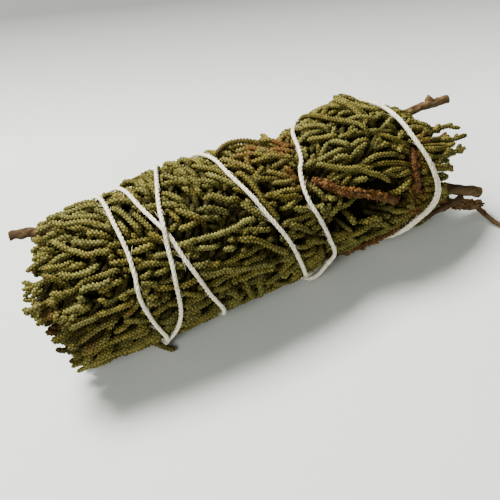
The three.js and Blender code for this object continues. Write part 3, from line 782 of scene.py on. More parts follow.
def lay_cord(key, flat, random, tint, ceiling=0.0, root=True, rust=0.0, size=1.0, dark=0.0,
             clear=None, start=CORD_START, under=0.0, trim=True, sag=SAG):
    """Settles one cord on the bundle and dresses it; flat rows are place and round distance."""
    path = even_path(flat)
    knots = np.arange(0, PATH_STEP * len(path) + KINK_STEP, KINK_STEP)
    path[:, 1] += np.interp(PATH_STEP * np.arange(len(path)), knots, random.normal(0, KINK, len(knots)))
    uneven = np.clip(random.normal(0, END_UNEVEN), -2 * END_UNEVEN, 2 * END_UNEVEN)
    around = path[:, 1] / USUAL_RADIUS
    outside = path[:, 0] < end_at(TIERS["left"], around) + uneven
    outside |= path[:, 0] > end_at(TIERS["right"], around) + uneven
    if trim and outside.any():
        path = path[: int(np.argmax(outside))]
        if len(path) * PATH_STEP < LEAST_CORD:
            return 0
    x = path[:, 0]
    turn = path[:, 1] / USUAL_RADIUS
    level, over = settle(x, turn, ceiling, root, sag)
    if clear is not None:
        count = trimmed(path, over, start, clear)
        if count == 0:
            return 0
        if count < len(path) and random.uniform() < under:
            count = min(len(path), count + UNDER_POINTS)
        path, x, turn, level = path[:count], x[:count], turn[:count], level[:count]
    deposit(x, turn, level)
    # Painted shade: the deeper a cord lies below the envelope, the darker its tone
    depth = cap_at(x, turn) - CORD_RADIUS - level
    shade = SHADE_MOST * np.clip((depth - SHADE_FROM) / SHADE_DEPTH, 0, 1)
    if ceiling == 0 and random.uniform() < LIFT_SHARE:
        left = PATH_STEP * np.arange(len(path))[::-1]
        rise = random.uniform(*LIFT_HIGH) * np.clip(1 - left / LIFT_LENGTH, 0, 1) ** 2
        rise *= ease(*LIFT_CLEAR, from_string(x, turn)) * ease(*LIFT_ROUND, turn_gap(turn, math.pi))
        level = level + rise
    points = place(x, turn, level)
    rusty = np.clip(rust + rust_at(x, turn) * random.uniform(*RUST_MIX), 0, 1)
    size = size * random.uniform(*CORD_SIZES)
    leafy(skins[key], points, random, tint, rusty, size, 1 - (1 - dark) * (1 - shade))
    return len(path)


# Sprigs of the solids: a main cord, and on some a side cord
CORD_STEP = 5.4
CORD_CLEAR = 0.3
SOLID_RADIUS = 0.85
LEAST_RADIUS = 15
LANES = 2
LANE_PLACES = (0.3, 0.7)
LANE_UNEVEN = 0.12
LANE_EDGE = 0.08
ROOT_UNEVEN = 2
SEED_STEP = 17

# Least length of a main cord and what is drawn on top, with the tier's way and against it
LONG_CORD = (15, 3.5)
SHORT_CORD = (10.5, 1.5)
DRIFT = 0.2
BEND = 0.5

# Side cords: where they leave, their least length and what is drawn on top of both, and how they spread
SIDE_ROWS = 3
SIDE_AT = (0.36, 0.16)
SIDE_LONG = (7, 3)
SIDE_SPREAD = 0.6
SIDE_CURVE = 0.22
SIDE_FORWARD = 0.9


def main_sprigs(side_name, index):
    """Flat routes of the main and side cords of one spray, as its solid has them."""
    tier = TIERS[side_name]
    width = FULL_TURN / tier["sectors"]
    low = tier["start"] + width * index
    high = low + width
    draw = seeded(tier["seed"] + index * SEED_STEP)
    for _ in range((tier["slices"] + 1) * tier["ridges"]):
        draw()
    plans = []
    for row, (root, way) in enumerate(tier["rows"]):
        for lane in range(LANES):
            share = (lane + LANE_PLACES[row % 2]) / LANES + (draw() - 0.5) * LANE_UNEVEN
            turn = mix(low, high, min(max(share, LANE_EDGE), 1 - LANE_EDGE))
            x = root + (draw() - 0.5) * ROOT_UNEVEN
            least, more = LONG_CORD if way == tier["way"] else SHORT_CORD
            length = least + more * draw()
            drift = (draw() - 0.5) * DRIFT
            hand = 1 - 2 * lane if row % 2 == lane and row < SIDE_ROWS else 0
            plans.append((x, turn, length, way, drift, hand))

    def step(x, turn):
        margin = (SOLID_RADIUS + CORD_CLEAR) / LEAST_RADIUS
        held = min(max(turn, low + margin), high - margin)
        return [x, (held + float(lean(tier, x, held))) * USUAL_RADIUS]

    routes = []
    for x, turn, length, way, drift, hand in plans:
        if way == tier["way"]:
            length = min(length, abs(float(end_of(tier, turn)) - x))
        steps = max(2, int(math.floor(length / CORD_STEP + 0.5)))
        bend = (draw() - 0.5) * BEND

        def sideways(t):
            return (drift * t + bend * t * (1 - t)) * length / USUAL_RADIUS

        main = []
        for k in range(steps + 1):
            t = k / steps
            main.append(step(x + way * length * t, turn + sideways(t)))
        routes.append(("main", main))
        if hand != 0:
            at = SIDE_AT[0] + SIDE_AT[1] * draw()
            side_length = SIDE_LONG[0] + SIDE_LONG[1] * draw()
            side = []
            for t in (0, 0.5, 1):
                round_ = SIDE_SPREAD * side_length * (t - SIDE_CURVE * t * t)
                x_side = x + way * (length * at + SIDE_FORWARD * side_length * t)
                side.append(step(x_side, turn + sideways(at) + hand * round_ / LEAST_RADIUS))
            routes.append(("side", side))
    return routes


# Where each row of random draws starts
SEEDS = {
    "seen": 37, "under": 11, "spread": 5, "sprigs": 23, "ends": 3, "extra": 40, "free": 60,
    "string": 71, "stems": 200, "outer": 300, "twigs": 400,
}
SOLID_SEEDS = 7

# Cords that stand out in the frame: pixels along each, root first
SEEN_CORDS = [
    [(112, 222), (104, 218), (93, 217), (81, 217), (68, 219), (58, 219)],
    [(110, 228), (99, 224), (87, 223), (74, 223), (60, 226), (52, 227)],
    [(106, 231), (93, 228), (81, 229), (72, 230)], [(117, 239), (106, 235), (96, 234), (86, 235)],
    [(120, 242), (114, 242), (100, 243), (87, 244), (71, 244)],
    [(123, 247), (110, 252), (101, 253), (87, 255), (76, 253), (68, 249), (60, 246), (51, 242)],
    [(81, 256), (74, 261), (68, 265), (60, 266), (52, 268), (43, 270)],
    [(106, 256), (98, 263), (91, 270), (81, 274), (70, 276), (58, 274)],
    [(124, 277), (112, 281), (98, 286), (87, 290), (80, 293)],
    [(78, 290), (71, 284), (61, 280), (51, 279), (42, 279)],
    [(77, 294), (66, 295), (57, 295), (50, 296)], [(120, 304), (111, 303), (104, 301), (98, 301)],
    [(109, 313), (98, 316), (87, 321), (76, 326), (68, 328)],
    [(68, 304), (63, 310), (58, 316), (54, 322)], [(138, 299), (128, 297), (117, 296)],
    [(138, 279), (132, 276), (126, 276)], [(83, 233), (74, 237), (63, 238), (53, 240), (48, 243)],
    [(60, 249), (53, 254), (42, 261), (33, 267), (26, 272)],
    [(52, 297), (42, 303), (34, 309), (24, 314)], [(169, 287), (158, 285), (147, 284), (142, 285)],
    [(163, 268), (154, 272), (144, 276), (140, 277)], [(164, 245), (152, 246), (142, 249), (132, 252)],
    [(124, 255), (118, 256), (110, 259)], [(133, 241), (129, 234), (123, 227), (119, 222)],
    [(148, 240), (142, 233), (134, 225), (126, 217), (119, 211), (111, 207)],
    [(163, 239), (154, 232), (146, 225), (140, 219), (133, 214)], [(146, 245), (139, 240), (132, 234)],
    [(250, 200), (238, 199), (227, 201), (214, 197), (203, 199)],
    [(189, 203), (198, 207), (210, 209), (221, 211), (229, 214)],
    [(183, 216), (177, 223), (171, 230), (168, 232)], [(206, 235), (194, 240), (187, 243), (179, 245)],
    [(201, 243), (195, 248), (192, 252), (186, 257)],
    [(231, 237), (242, 240), (254, 240), (267, 245), (280, 251), (289, 253)],
    [(246, 245), (235, 248), (223, 249)],
    [(231, 166), (239, 172), (248, 180), (256, 189), (263, 200), (270, 208), (279, 219)],
    [(257, 187), (257, 182), (258, 176), (264, 168)], [(262, 191), (273, 195), (284, 197), (299, 197)],
    [(275, 209), (287, 207), (296, 200), (304, 196)], [(280, 224), (294, 225), (309, 231)],
    [(215, 149), (221, 144), (229, 141), (237, 139), (246, 140), (256, 141), (260, 144)],
    [(294, 155), (284, 161), (272, 168)],
    [(284, 263), (265, 264), (246, 268), (227, 271), (208, 273), (200, 274)],
    [(221, 260), (208, 264), (198, 266), (193, 264)],
    [(276, 266), (263, 265), (249, 266), (236, 267), (223, 270), (209, 272), (199, 273)],
    [(230, 260), (217, 264), (204, 265), (196, 266)], [(252, 256), (260, 260), (268, 263), (278, 261)],
    [(247, 275), (247, 283), (248, 289), (252, 296)], [(260, 279), (261, 287), (259, 296)],
    [(232, 286), (234, 289), (234, 294)], [(265, 289), (276, 284), (289, 281)],
    [(326, 241), (316, 240), (306, 240)], [(155, 322), (136, 320), (124, 321)],
    [(139, 344), (130, 342), (121, 342)], [(123, 346), (109, 350), (95, 354)],
    [(121, 332), (107, 338), (93, 346), (83, 350)], [(88, 337), (79, 344), (68, 348)],
    [
        (376, 140), (370, 133), (361, 126), (349, 122), (338, 121), (326, 118), (315, 116), (304, 117),
        (297, 119),
    ],
    [(337, 127), (328, 126), (319, 126), (307, 127), (299, 130)], [(343, 129), (350, 132), (358, 133)],
    [(346, 134), (338, 133), (328, 136), (318, 138), (307, 141)],
    [(361, 148), (349, 145), (338, 141), (328, 139)],
    [(390, 113), (381, 111), (368, 108), (357, 105), (347, 101), (338, 98), (327, 98)],
    [(361, 110), (351, 108), (340, 107), (329, 106)], [(382, 118), (372, 117), (359, 118), (347, 120)],
    [(376, 125), (385, 123), (391, 120), (395, 114)], [(405, 130), (393, 128), (384, 127)],
    [(393, 141), (398, 136), (404, 131)], [(393, 140), (386, 141), (377, 140)],
    [(401, 140), (400, 146), (399, 152)], [(403, 141), (409, 140), (415, 139)],
    [(350, 164), (354, 158), (360, 150), (367, 143)],
    [(307, 163), (318, 165), (330, 167), (344, 169), (357, 169), (368, 172), (380, 176), (390, 182)],
    [(325, 164), (331, 161), (340, 157), (349, 157)],
    [(357, 165), (367, 161), (376, 156), (386, 153), (395, 153), (405, 156)],
    [(326, 156), (322, 154), (317, 146)], [(390, 179), (395, 176), (405, 173), (413, 172)],
    [(405, 160), (410, 163), (412, 169)],
    [(387, 216), (390, 206), (393, 199), (399, 193), (406, 185), (409, 178)],
    [(303, 165), (308, 176), (313, 185), (318, 191), (323, 198)],
    [(413, 195), (416, 200), (413, 207), (407, 208)], [(347, 184), (355, 180), (365, 179)],
    [(356, 230), (363, 225), (371, 219), (380, 217)], [(365, 232), (372, 227), (382, 223), (388, 227)],
    [(342, 223), (346, 227), (351, 231)], [(347, 210), (351, 217), (353, 223)],
]
SIGHT_NEAR = 170.0
SIGHT_FAR = 290.0
SIGHT_STEP = 0.25


def on_outline(pixels):
    """Place and round distance where the camera sees pixels of the frame on the bundle."""
    spot, right, up, back = camera_place()
    off = (np.asarray(pixels, float) - FRAME_PIXELS / 2) / FOCAL_PIXELS
    rays = off[:, :1] * right - off[:, 1:] * up - back
    run = np.arange(SIGHT_NEAR, SIGHT_FAR, SIGHT_STEP)
    points = spot + run[None, :, None] * rays[:, None, :]
    _, side, height = smooth(OUTLINE, points[..., 0])
    across = points[..., 1] - side
    above = points[..., 2] - height
    turn = np.arctan2(-across, above)
    outside = np.hypot(across, above) - reach(points[..., 0], turn) + CORD_RADIUS
    seen = np.where((outside < 0).any(1), np.argmax(outside < 0, axis=1), np.argmin(outside, axis=1))
    pick = np.arange(len(points))
    return np.column_stack([points[pick, seen, 0], np.unwrap(turn[pick, seen]) * USUAL_RADIUS])


def seen_layer():
    random = np.random.default_rng(SEEDS["seen"])
    for pixels in SEEN_CORDS:
        route = on_outline(pixels)
        key = sector_of(route[0, 0], route[0, 1] / USUAL_RADIUS)
        lay_cord(key, route, random, random.uniform(0, 1), trim=False, sag=0.0)


# How the fine cords run: place, turn in degrees, heading in degrees from -X toward the viewer
FLOW = np.array([
    [-46, -30, -20], [-46, 20, -22], [-46, 60, -10], [-46, 100, 2],
    [-34, -30, -34], [-34, 10, -34], [-34, 45, -18], [-34, 90, 0],
    [-22, -30, -72], [-20, 5, -80], [-22, 38, -38], [-22, 80, -8],
    [-12, -30, -75], [-10, 5, -75], [-10, 30, -50], [-8, 50, -20], [-6, 80, -8],
    [2, -20, -65], [4, 14, -60], [6, 50, -20], [4, 100, 0],
    [16, -20, -45], [16, 20, -50], [16, 60, -25], [16, 100, 0],
    [28, -25, 15], [28, 10, -25], [28, 45, -25], [28, 90, 5],
    [40, -20, 10], [40, 20, -15], [40, 60, -30], [40, 100, 0],
    [0, 150, 0], [0, 210, 5], [0, 270, -5], [-30, 180, 0], [30, 200, 0], [-30, 270, -8], [30, 280, 8],
], float)
FLOW_BLUR = 4.5
BEND_STEP = 2.5


def flow(x, turn):
    gap = np.hypot(x - FLOW[:, 0], turn_gap(turn, FLOW[:, 1] * DEGREE) * USUAL_RADIUS)
    weight = 1 / (gap**2 + FLOW_BLUR**2) ** 2
    angle = FLOW[:, 2] * DEGREE
    return math.atan2((weight * np.sin(angle)).sum(), (weight * np.cos(angle)).sum())


def bent_route(x, round_, heading, way, length, curl):
    """A flat route that starts at a place and heads along the way, curling evenly."""
    points = [[x, round_]]
    steps = max(3, int(length / BEND_STEP))
    for k in range(steps):
        angle = heading + curl * (k + 0.5) / steps
        x += way * math.cos(angle) * length / steps
        round_ += math.sin(angle) * length / steps
        points.append([x, round_])
    return points


# Tips of fine cords point left up to a place along X; beyond it more and more of them point right
WAY_FROM = 8
WAY_REACH = 14
WAY_SHARE = (0.25, 0.8)

# Roots of the under layer: the stretch they lie on, and the steps of an even spread
SPREAD_FROM = -42
SPREAD_LONG = 90
SPREAD_STEPS = (0.7548776662, 0.5698402910)

# The under layer: how many cords, how far below the envelope, how they run, and where they are darker with
# painted shade
UNDER_COUNT = 640
UNDER_CEILING = 1.3
UNDER_SAG = 2.0
UNDER_HEADING = 0.3
UNDER_LENGTH = (9, 17)
UNDER_CURL = 0.35
UNDER_PAINTED_SHADE = 0.45
UNDER_FROM = -30
UNDER_TO = 36


def way_at(x, random):
    if x < WAY_FROM:
        return -1
    return 1 if random.uniform() < np.clip((x - WAY_FROM) / WAY_REACH, *WAY_SHARE) else -1


def scatter(count, seed):
    """Evenly spread roots over the outside: place and turn."""
    shift = np.random.default_rng(seed).uniform(0, 1, 2)
    k = np.arange(count)
    x = SPREAD_FROM + SPREAD_LONG * np.mod(shift[0] + k * SPREAD_STEPS[0], 1)
    turn = FULL_TURN * np.mod(shift[1] + k * SPREAD_STEPS[1], 1)
    return x, turn


def under_layer():
    random = np.random.default_rng(SEEDS["under"])
    for x, turn in zip(*scatter(UNDER_COUNT, SEEDS["spread"])):
        way = way_at(x, random)
        heading = way * (flow(x, turn) + random.normal(0, UNDER_HEADING))
        length = random.uniform(*UNDER_LENGTH)
        route = bent_route(x, turn * USUAL_RADIUS, heading, way, length, random.normal(0, UNDER_CURL))
        if share_within(GAP, np.array(route)) > 0:
            continue
        # Painted shade on the under-layer cords in the middle stretch
        dark = UNDER_PAINTED_SHADE if UNDER_FROM < x < UNDER_TO else 0.0
        tint = random.uniform(0, 1)
        lay_cord(sector_of(x, turn), route, random, tint, UNDER_CEILING, dark=dark, sag=UNDER_SAG)


def solid_layer():
    for side_name, index in skins:
        random = np.random.default_rng(TIERS[side_name]["seed"] * SOLID_SEEDS + index)
        for kind, route in main_sprigs(side_name, index):
            flat = np.array(route)
            if share_within(GAP, flat) > 0 or share_within(CROSSWISE, flat) > CROSSWISE_MOST:
                continue
            lay_cord((side_name, index), route, random, random.uniform(0, 1), root=kind == "main")


# Main cords of sprigs: length and least length kept, how they run, how much shorter across the bundle, share
# that runs on under others, and points before they may be cut
MAIN_LENGTH = (10.0, 18.0)
MAIN_LEAST = 4.5
MAIN_HEADING = 0.16
MAIN_CURL = 0.3
ACROSS = 0.35
MAIN_UNDER = 0.5
FREE_START = 9

# Side cords: least length kept, angle, length, gaps, first and last place, curl, share that runs on under
# others, points before they may be cut, and how often the hand changes
SIDE_LEAST = 1.6
SIDE_ANGLE = (0.45, 0.95)
SIDE_LENGTH = (2.4, 7.0)
SIDE_EVERY = (1.8, 3.4)
SIDE_FIRST = (2.5, 4.5)
SIDE_LAST = 2.5
SIDE_CURL = (0.1, 0.6)
SIDE_UNDER = 0.2
SIDE_START = 5
OTHER_HAND = 0.7


def sprig(x, turn, random, lengths, least):
    """A branched spray: a main cord with side cords on both hands."""
    way = way_at(x, random)
    heading = flow(x, turn) + random.normal(0, MAIN_HEADING)
    length = random.uniform(*lengths) * (1 - ACROSS * abs(math.sin(heading)))
    curl = random.normal(0, MAIN_CURL)
    main = bent_route(x, turn * USUAL_RADIUS, heading, way, length, curl)
    flat = even_path(main)
    if share_within(GAP, flat) > 0:
        return
    key = sector_of(x, turn)
    tint = random.uniform(0, 1)
    start = min(FREE_START, len(flat) // 2)
    count = lay_cord(key, main, random, tint, clear=least, start=start, under=MAIN_UNDER)
    if count == 0:
        return
    hand = random.choice([-1, 1])
    at = random.uniform(*SIDE_FIRST)
    while at < count * PATH_STEP - SIDE_LAST:
        k = min(int(at / PATH_STEP), len(flat) - 2)
        here = flat[k]
        ahead = flat[k + 1] - flat[k]
        angle = math.atan2(ahead[1], way * ahead[0]) + hand * random.uniform(*SIDE_ANGLE)
        side_length = random.uniform(*SIDE_LENGTH)
        side = bent_route(here[0], here[1], angle, way, side_length, -hand * random.uniform(*SIDE_CURL))
        lay_cord(key, side, random, tint, root=False, clear=SIDE_LEAST, start=SIDE_START, under=SIDE_UNDER)
        hand = -hand if random.uniform() < OTHER_HAND else hand
        at += random.uniform(*SIDE_EVERY)


# A sprig roots a little behind the lowest of a few spots, so that hollows fill up; short ones follow to
# fill what is left
SPRIG_COUNT = 1300
FILL_COUNT = 1000
FILL_LENGTH = (4.0, 9.0)
FILL_LEAST = 2.0
SPRIG_SPOTS = 14
SPRIG_FROM = -40
SPRIG_TO = 47
SPRIG_BACK = 3
FILL_BACK = 2
LOW_CELLS = 4

# Turn from the top past which a spot counts as less hollow, and by how much
BELOW = 140 * DEGREE
BELOW_LESS = 1.0


def sprig_layer():
    random = np.random.default_rng(SEEDS["sprigs"])
    span = np.arange(-LOW_CELLS, LOW_CELLS + 1)
    for number in range(SPRIG_COUNT + FILL_COUNT):
        xs = random.uniform(SPRIG_FROM, SPRIG_TO, SPRIG_SPOTS)
        turns = random.uniform(0, FULL_TURN, SPRIG_SPOTS)
        i, j = cells(xs, turns)
        i = np.clip(i, LOW_CELLS, GRID_ROWS - 1 - LOW_CELLS)
        rows = i[:, None, None] + span[None, :, None]
        columns = (j[:, None, None] + span[None, None, :]) % GRID_TURNS
        hollow = (CAP[rows, columns] - top[rows, columns]).mean((1, 2))
        hollow[turn_gap(turns, math.pi) < math.pi - BELOW] -= BELOW_LESS
        best = int(np.argmax(hollow))
        way = way_at(xs[best], random)
        if number < SPRIG_COUNT:
            sprig(xs[best] - way * SPRIG_BACK, turns[best], random, MAIN_LENGTH, MAIN_LEAST)
        else:
            sprig(xs[best] - way * FILL_BACK, turns[best], random, FILL_LENGTH, FILL_LEAST)


# Short side tips near the end of a cord: share, distance from its tip, length, thickness, tilt and shape
FORK_SHARE = 0.45
FORK_AT = (1.6, 4.2)
FORK_LENGTH = (1.6, 3.4)
FORK_SIZE = 0.88
FORK_TILT = 0.4
FORK_POINTS = 5
FORK_AHEAD = 0.8
FORK_ASIDE = (0.8, 0.3)


def forks(skin, path, random, tint, share=FORK_SHARE):
    ahead, up, across = frames(path)
    for hand in (-1, 1):
        k = len(path) - 1 - int(random.uniform(*FORK_AT) / PATH_STEP)
        length = random.uniform(*FORK_LENGTH)
        tilt = random.normal(0, FORK_TILT)
        if k < 3 or random.uniform() > share:
            continue
        side = hand * math.cos(tilt) * across[k] + math.sin(tilt) * up[k]
        t = np.linspace(0, 1, FORK_POINTS)[:, None]
        line = path[k] + (FORK_AHEAD * ahead[k] + side * (FORK_ASIDE[0] - FORK_ASIDE[1] * t)) * length * t
        leafy(skin, even_path(line), random, tint, 0.0, FORK_SIZE)


# Cords that rise off the bundle: side, sector, rust, then place, turn in degrees, distance
FREE_CORDS = [
    ("right", 6, 0.0, [[33.5, 4, 14.5], [32.0, -6, 17.0], [29.8, -17, 18.6]]),
    ("right", 6, 0.0, [[35.0, -4, 14.5], [33.0, -13, 16.9], [31.0, -24, 18.4]]),
    ("right", 6, 0.0, [[36.5, -12, 15.0], [34.0, -18, 17.4], [32.4, -25, 18.2]]),
    ("right", 6, 0.2, [[13.0, -20, 15.0], [9.5, -27, 17.0], [5.0, -29, 17.3], [1.5, -24, 16.2]]),
    ("right", 6, 0.9, [[16.5, -12, 14.4], [14.0, -20, 16.2], [12.0, -27, 16.6]]),
]

# Tints and thickness of single cords, how many fork, and how high over the table a tip must be to fork
EXTRA_TINT = 0.5
FREE_TINT = 0.4
FREE_SIZE = 0.9
SINGLE_FORKS = 0.85
FORK_CLEAR = 4.0

# Tips that stand out of the ends of the bundle: how many, how wide they spread, their length and reach
END_TIPS = 190
GOLDEN_TURN = 2.399963
END_WIDE = 14.2
END_LENGTH = (6.5, 10.5)
END_ROOT = 3.0
END_TURN = 0.05
END_DRIFT = 0.05
END_SPREAD = 0.8
END_POINTS = 4
TIP_REACH = 6.4

# Distance from the middle from which end tips lean fully, and from which they take the rust patches
LEAN_FULL = 8
RUST_FROM = 9.0


def end_tips(tier):
    random = np.random.default_rng(tier["seed"] + SEEDS["ends"])
    for k in range(END_TIPS):
        distance = END_WIDE * math.sqrt((k + 0.5) / END_TIPS)
        turn = GOLDEN_TURN * k + random.normal(0, END_TURN)
        length = random.uniform(*END_LENGTH)
        drift = random.normal(0, END_DRIFT)
        root = float(end_of(tier, turn)) - tier["way"] * (TIP_REACH + END_ROOT)
        route = []
        for t in np.linspace(0, 1, END_POINTS):
            x = root + tier["way"] * length * t
            around = turn + drift * t + float(lean(tier, x, turn)) * min(1, distance / LEAN_FULL)
            limit = float(cap_at(np.array([x]), np.array([around]))[0]) - CORD_RADIUS
            route.append(place(x, around, min(distance + random.uniform(0, END_SPREAD) * t, limit)))
        key = sector_of(tier["far"], turn)
        tint = random.uniform(0, 1)
        path = even_path(route)
        rust = rust_at(np.linspace(root, x, len(path)), around) if distance > RUST_FROM else 0.0
        leafy(skins[key], path, random, tint, rust, random.uniform(*CORD_SIZES))
        forks(skins[key], path, random, tint)


def single_cord(key, route, seed, tint, rust, size=1.0):
    """A cord through rows of place, turn in degrees and distance, with a rust for all rows or for each."""
    random = np.random.default_rng(seed)
    path = even_path([place(x, degrees * DEGREE, distance) for x, degrees, distance in route])
    rust = np.broadcast_to(rust, len(route))
    rust = np.interp(np.linspace(0, 1, len(path)), np.linspace(0, 1, len(route)), rust)
    leafy(skins[key], path, random, tint, rust, size)
    if path[-1, 2] > TABLE_TOP + FORK_CLEAR:
        forks(skins[key], path, random, tint, SINGLE_FORKS)


def end_layer():
    for tier in TIERS.values():
        end_tips(tier)
    for side_name, index, route in EXTRA_CORDS:
        x, degrees, _ = np.array(route, float).T
        rust = rust_at(x, degrees * DEGREE)
        single_cord((side_name, index), route, SEEDS["extra"] + index, EXTRA_TINT, rust)
    for number, (side_name, index, rust, route) in enumerate(FREE_CORDS):
        single_cord((side_name, index), route, SEEDS["free"] + number, FREE_TINT, rust, FREE_SIZE)


# The inside that the cords grow from, near-black as painted shade
CORE_STEP = 2.0
CORE_TURNS = 9
CORE_MIDDLE = 0.6
GAP_DEEPER = 6.0
GAP_EDGE = 4


def core(side_name, index):
    tier = TIERS[side_name]
    width = FULL_TURN / tier["sectors"]
    low = tier["start"] + width * index
    turns = np.linspace(low, low + width, CORE_TURNS)
    far = end_of(tier, turns) - tier["way"] * TIP_REACH
    steps = int(abs(far - SPLIT).max() / CORE_STEP)
    rings = []
    for t in np.linspace(0, 1, steps) if tier["way"] > 0 else np.linspace(1, 0, steps):
        xs = mix(SPLIT, far, t)
        turned = turns + lean(tier, xs, turns)
        out = cap_at(xs, turned) - CORE_DEPTH
        out = out - GAP_DEEPER * np.exp(-(from_middle(GAP, xs, turned) ** GAP_EDGE))
        ring = list(place(xs, turned, out))
        ring += list(place(xs[[-1, 0]], turned[[-1, 0]], np.full(2, CORE_MIDDLE)))
        rings.append(ring)
    rings = np.array(rings)
    count = rings.shape[1]
    k = np.arange(steps - 1)[:, None] * count
    i = np.arange(count)[None, :]
    n = (i + 1) % count
    quads = np.stack([k + i, k + n + count, k + n, k + i, k + i + count, k + n + count], -1)
    quads = quads.reshape(-1, 3)
    fan = np.arange(1, count - 1)
    last = (steps - 1) * count
    start = np.stack([np.zeros(count - 2, int), fan, fan + 1], -1)
    stop = np.stack([np.full(count - 2, last), last + fan + 1, last + fan], -1)
    inside[side_name, index].add(rings, np.concatenate([quads, start, stop]), (0.0, 0.0, 0.0), False)


under_layer()
seen_layer()
solid_layer()
sprig_layer()
end_layer()
for side_name, index in skins:
    core(side_name, index)


# Sockets of a colour mix
MIX_SHARE = 0
MIX_FIRST = 6
MIX_SECOND = 7
MIX_RESULT = 2


class Nodes:
    """A material, with its nodes made in a short form."""

    def __init__(self, name):
        self.material = bpy.data.materials.new(name)
        self.material.use_nodes = True
        self.tree = self.material.node_tree
        self.shader = self.tree.nodes["Principled BSDF"]
        self.spot = self.add("ShaderNodeTexCoord").outputs["Object"]

    def add(self, kind, inputs=(), **settings):
        node = self.tree.nodes.new(kind)
        for key, value in settings.items():
            setattr(node, key, value)
        for key, value in dict(inputs).items():
            self.put(node.inputs[key], value)
        return node

    def put(self, socket, value):
        if isinstance(value, bpy.types.NodeSocket):
            self.tree.links.new(value, socket)
        else:
            socket.default_value = value

    def ramp(self, factor, stops):
        node = self.add("ShaderNodeValToRGB", {"Fac": factor})
        marks = node.color_ramp.elements
        while len(marks) < len(stops):
            marks.new(0.5)
        for mark, (at, colour) in zip(marks, stops):
            mark.position = at
            mark.color = (*colour, 1)
        return node.outputs["Color"]

    def blend(self, factor, first, second):
        inputs = {MIX_SHARE: factor, MIX_FIRST: first, MIX_SECOND: second}
        return self.add("ShaderNodeMix", inputs, data_type="RGBA").outputs[MIX_RESULT]

    def noise(self, scale, detail, rough, vector=None):
        inputs = {"Scale": scale, "Detail": detail, "Roughness": rough, "Vector": vector or self.spot}
        return self.add("ShaderNodeTexNoise", inputs).outputs["Fac"]

    def bump(self, height, strength, distance):
        node = self.add("ShaderNodeBump", {"Height": height, "Strength": strength, "Distance": distance})
        self.put(self.shader.inputs["Normal"], node.outputs["Normal"])

    def leaf(self):
        """Tone, with painted shade in it, tint and rust of the scale leaves."""
        node = self.add("ShaderNodeAttribute", attribute_name="leaf", attribute_type="GEOMETRY")
        return list(self.add("ShaderNodeSeparateColor", {"Color": node.outputs["Color"]}).outputs)

    def finish(self, colour, roughness, specular):
        self.put(self.shader.inputs["Base Color"], colour)
        self.shader.inputs["Roughness"].default_value = roughness
        self.shader.inputs["Specular IOR Level"].default_value = specular
        return self.material


# Colours from the notches to the scale tips, or from hollows to ridges: place on the scale, then the colour.
# The dark low end that the leaf tone reaches is painted shade of the notches and of deep cords
OLIVE = [
    (0.0, (0.012, 0.009, 0.001)), (0.3, (0.064, 0.050, 0.007)),
    (0.7, (0.215, 0.172, 0.030)), (1.0, (0.350, 0.288, 0.072)),
]
GREY_OLIVE = [
    (0.0, (0.010, 0.009, 0.002)), (0.3, (0.052, 0.049, 0.011)),
    (0.7, (0.165, 0.157, 0.042)), (1.0, (0.315, 0.300, 0.102)),
]
RUST_LEAF = [
    (0.0, (0.012, 0.005, 0.001)), (0.3, (0.062, 0.024, 0.005)),
    (0.7, (0.135, 0.054, 0.012)), (1.0, (0.260, 0.112, 0.034)),
]
RUST_TWIG = [
    (0.0, (0.010, 0.004, 0.001)), (0.3, (0.055, 0.022, 0.004)),
    (0.7, (0.140, 0.062, 0.013)), (1.0, (0.290, 0.150, 0.055)),
]
COTTON = [(0.3, (0.42, 0.36, 0.23)), (0.5, (0.74, 0.68, 0.50)), (0.72, (0.95, 0.92, 0.74))]
BARK_TONES = [
    (0.28, (0.014, 0.008, 0.003)), (0.45, (0.066, 0.036, 0.014)),
    (0.6, (0.132, 0.080, 0.034)), (0.8, (0.240, 0.165, 0.085)),
]
BARK_PATCH = (0.09, 0.056, 0.025)
# Painted shade: near-black colours for the inside of the bundle
INSIDE_SHADE = [(0.4, (0.006, 0.005, 0.001)), (0.7, (0.022, 0.017, 0.005))]

# Where patches begin and are full, and how strong
LEAF_PATCHES = [(0.3, (0, 0, 0)), (0.8, (0.5, 0.5, 0.5))]
BARK_PATCHES = [(0.45, (0, 0, 0)), (0.65, (1, 1, 1))]
TINT_SHARE = 0.75

# Noises: scale, detail and roughness
LEAF_PATCH_NOISE = (90.0, 3.0, 0.6)
LEAF_GRAIN = (2600.0, 2.0, 0.7)
COTTON_NOISE = (1500.0, 4.0, 0.7)
COTTON_GRAIN = (5200.0, 3.0, 0.7)
BARK_RIDGES = (1300.0, 5.0, 0.7)
BARK_PATCH_NOISE = (260.0, 2.0, 0.5)
INSIDE_SHADE_NOISE = (900.0, 3.0, 0.6)
BARK_STRETCH = (0.35, 1.0, 1.0)

# Bumps: strength and height
LEAF_BUMP = (0.35, 0.0001)
COTTON_BUMP = (0.5, 0.00012)
BARK_BUMP = (0.9, 0.0004)

# Finishes: roughness and specular level
LEAF_FINISH = (0.7, 0.08)
RUST_FINISH = (0.65, 0.15)
COTTON_FINISH = (0.9, 0.2)
COTTON_SHEEN = 0.25
BARK_FINISH = (0.8, 0.12)
INSIDE_FINISH = (1.0, 0.0)
DARK_SHADE = 0.6


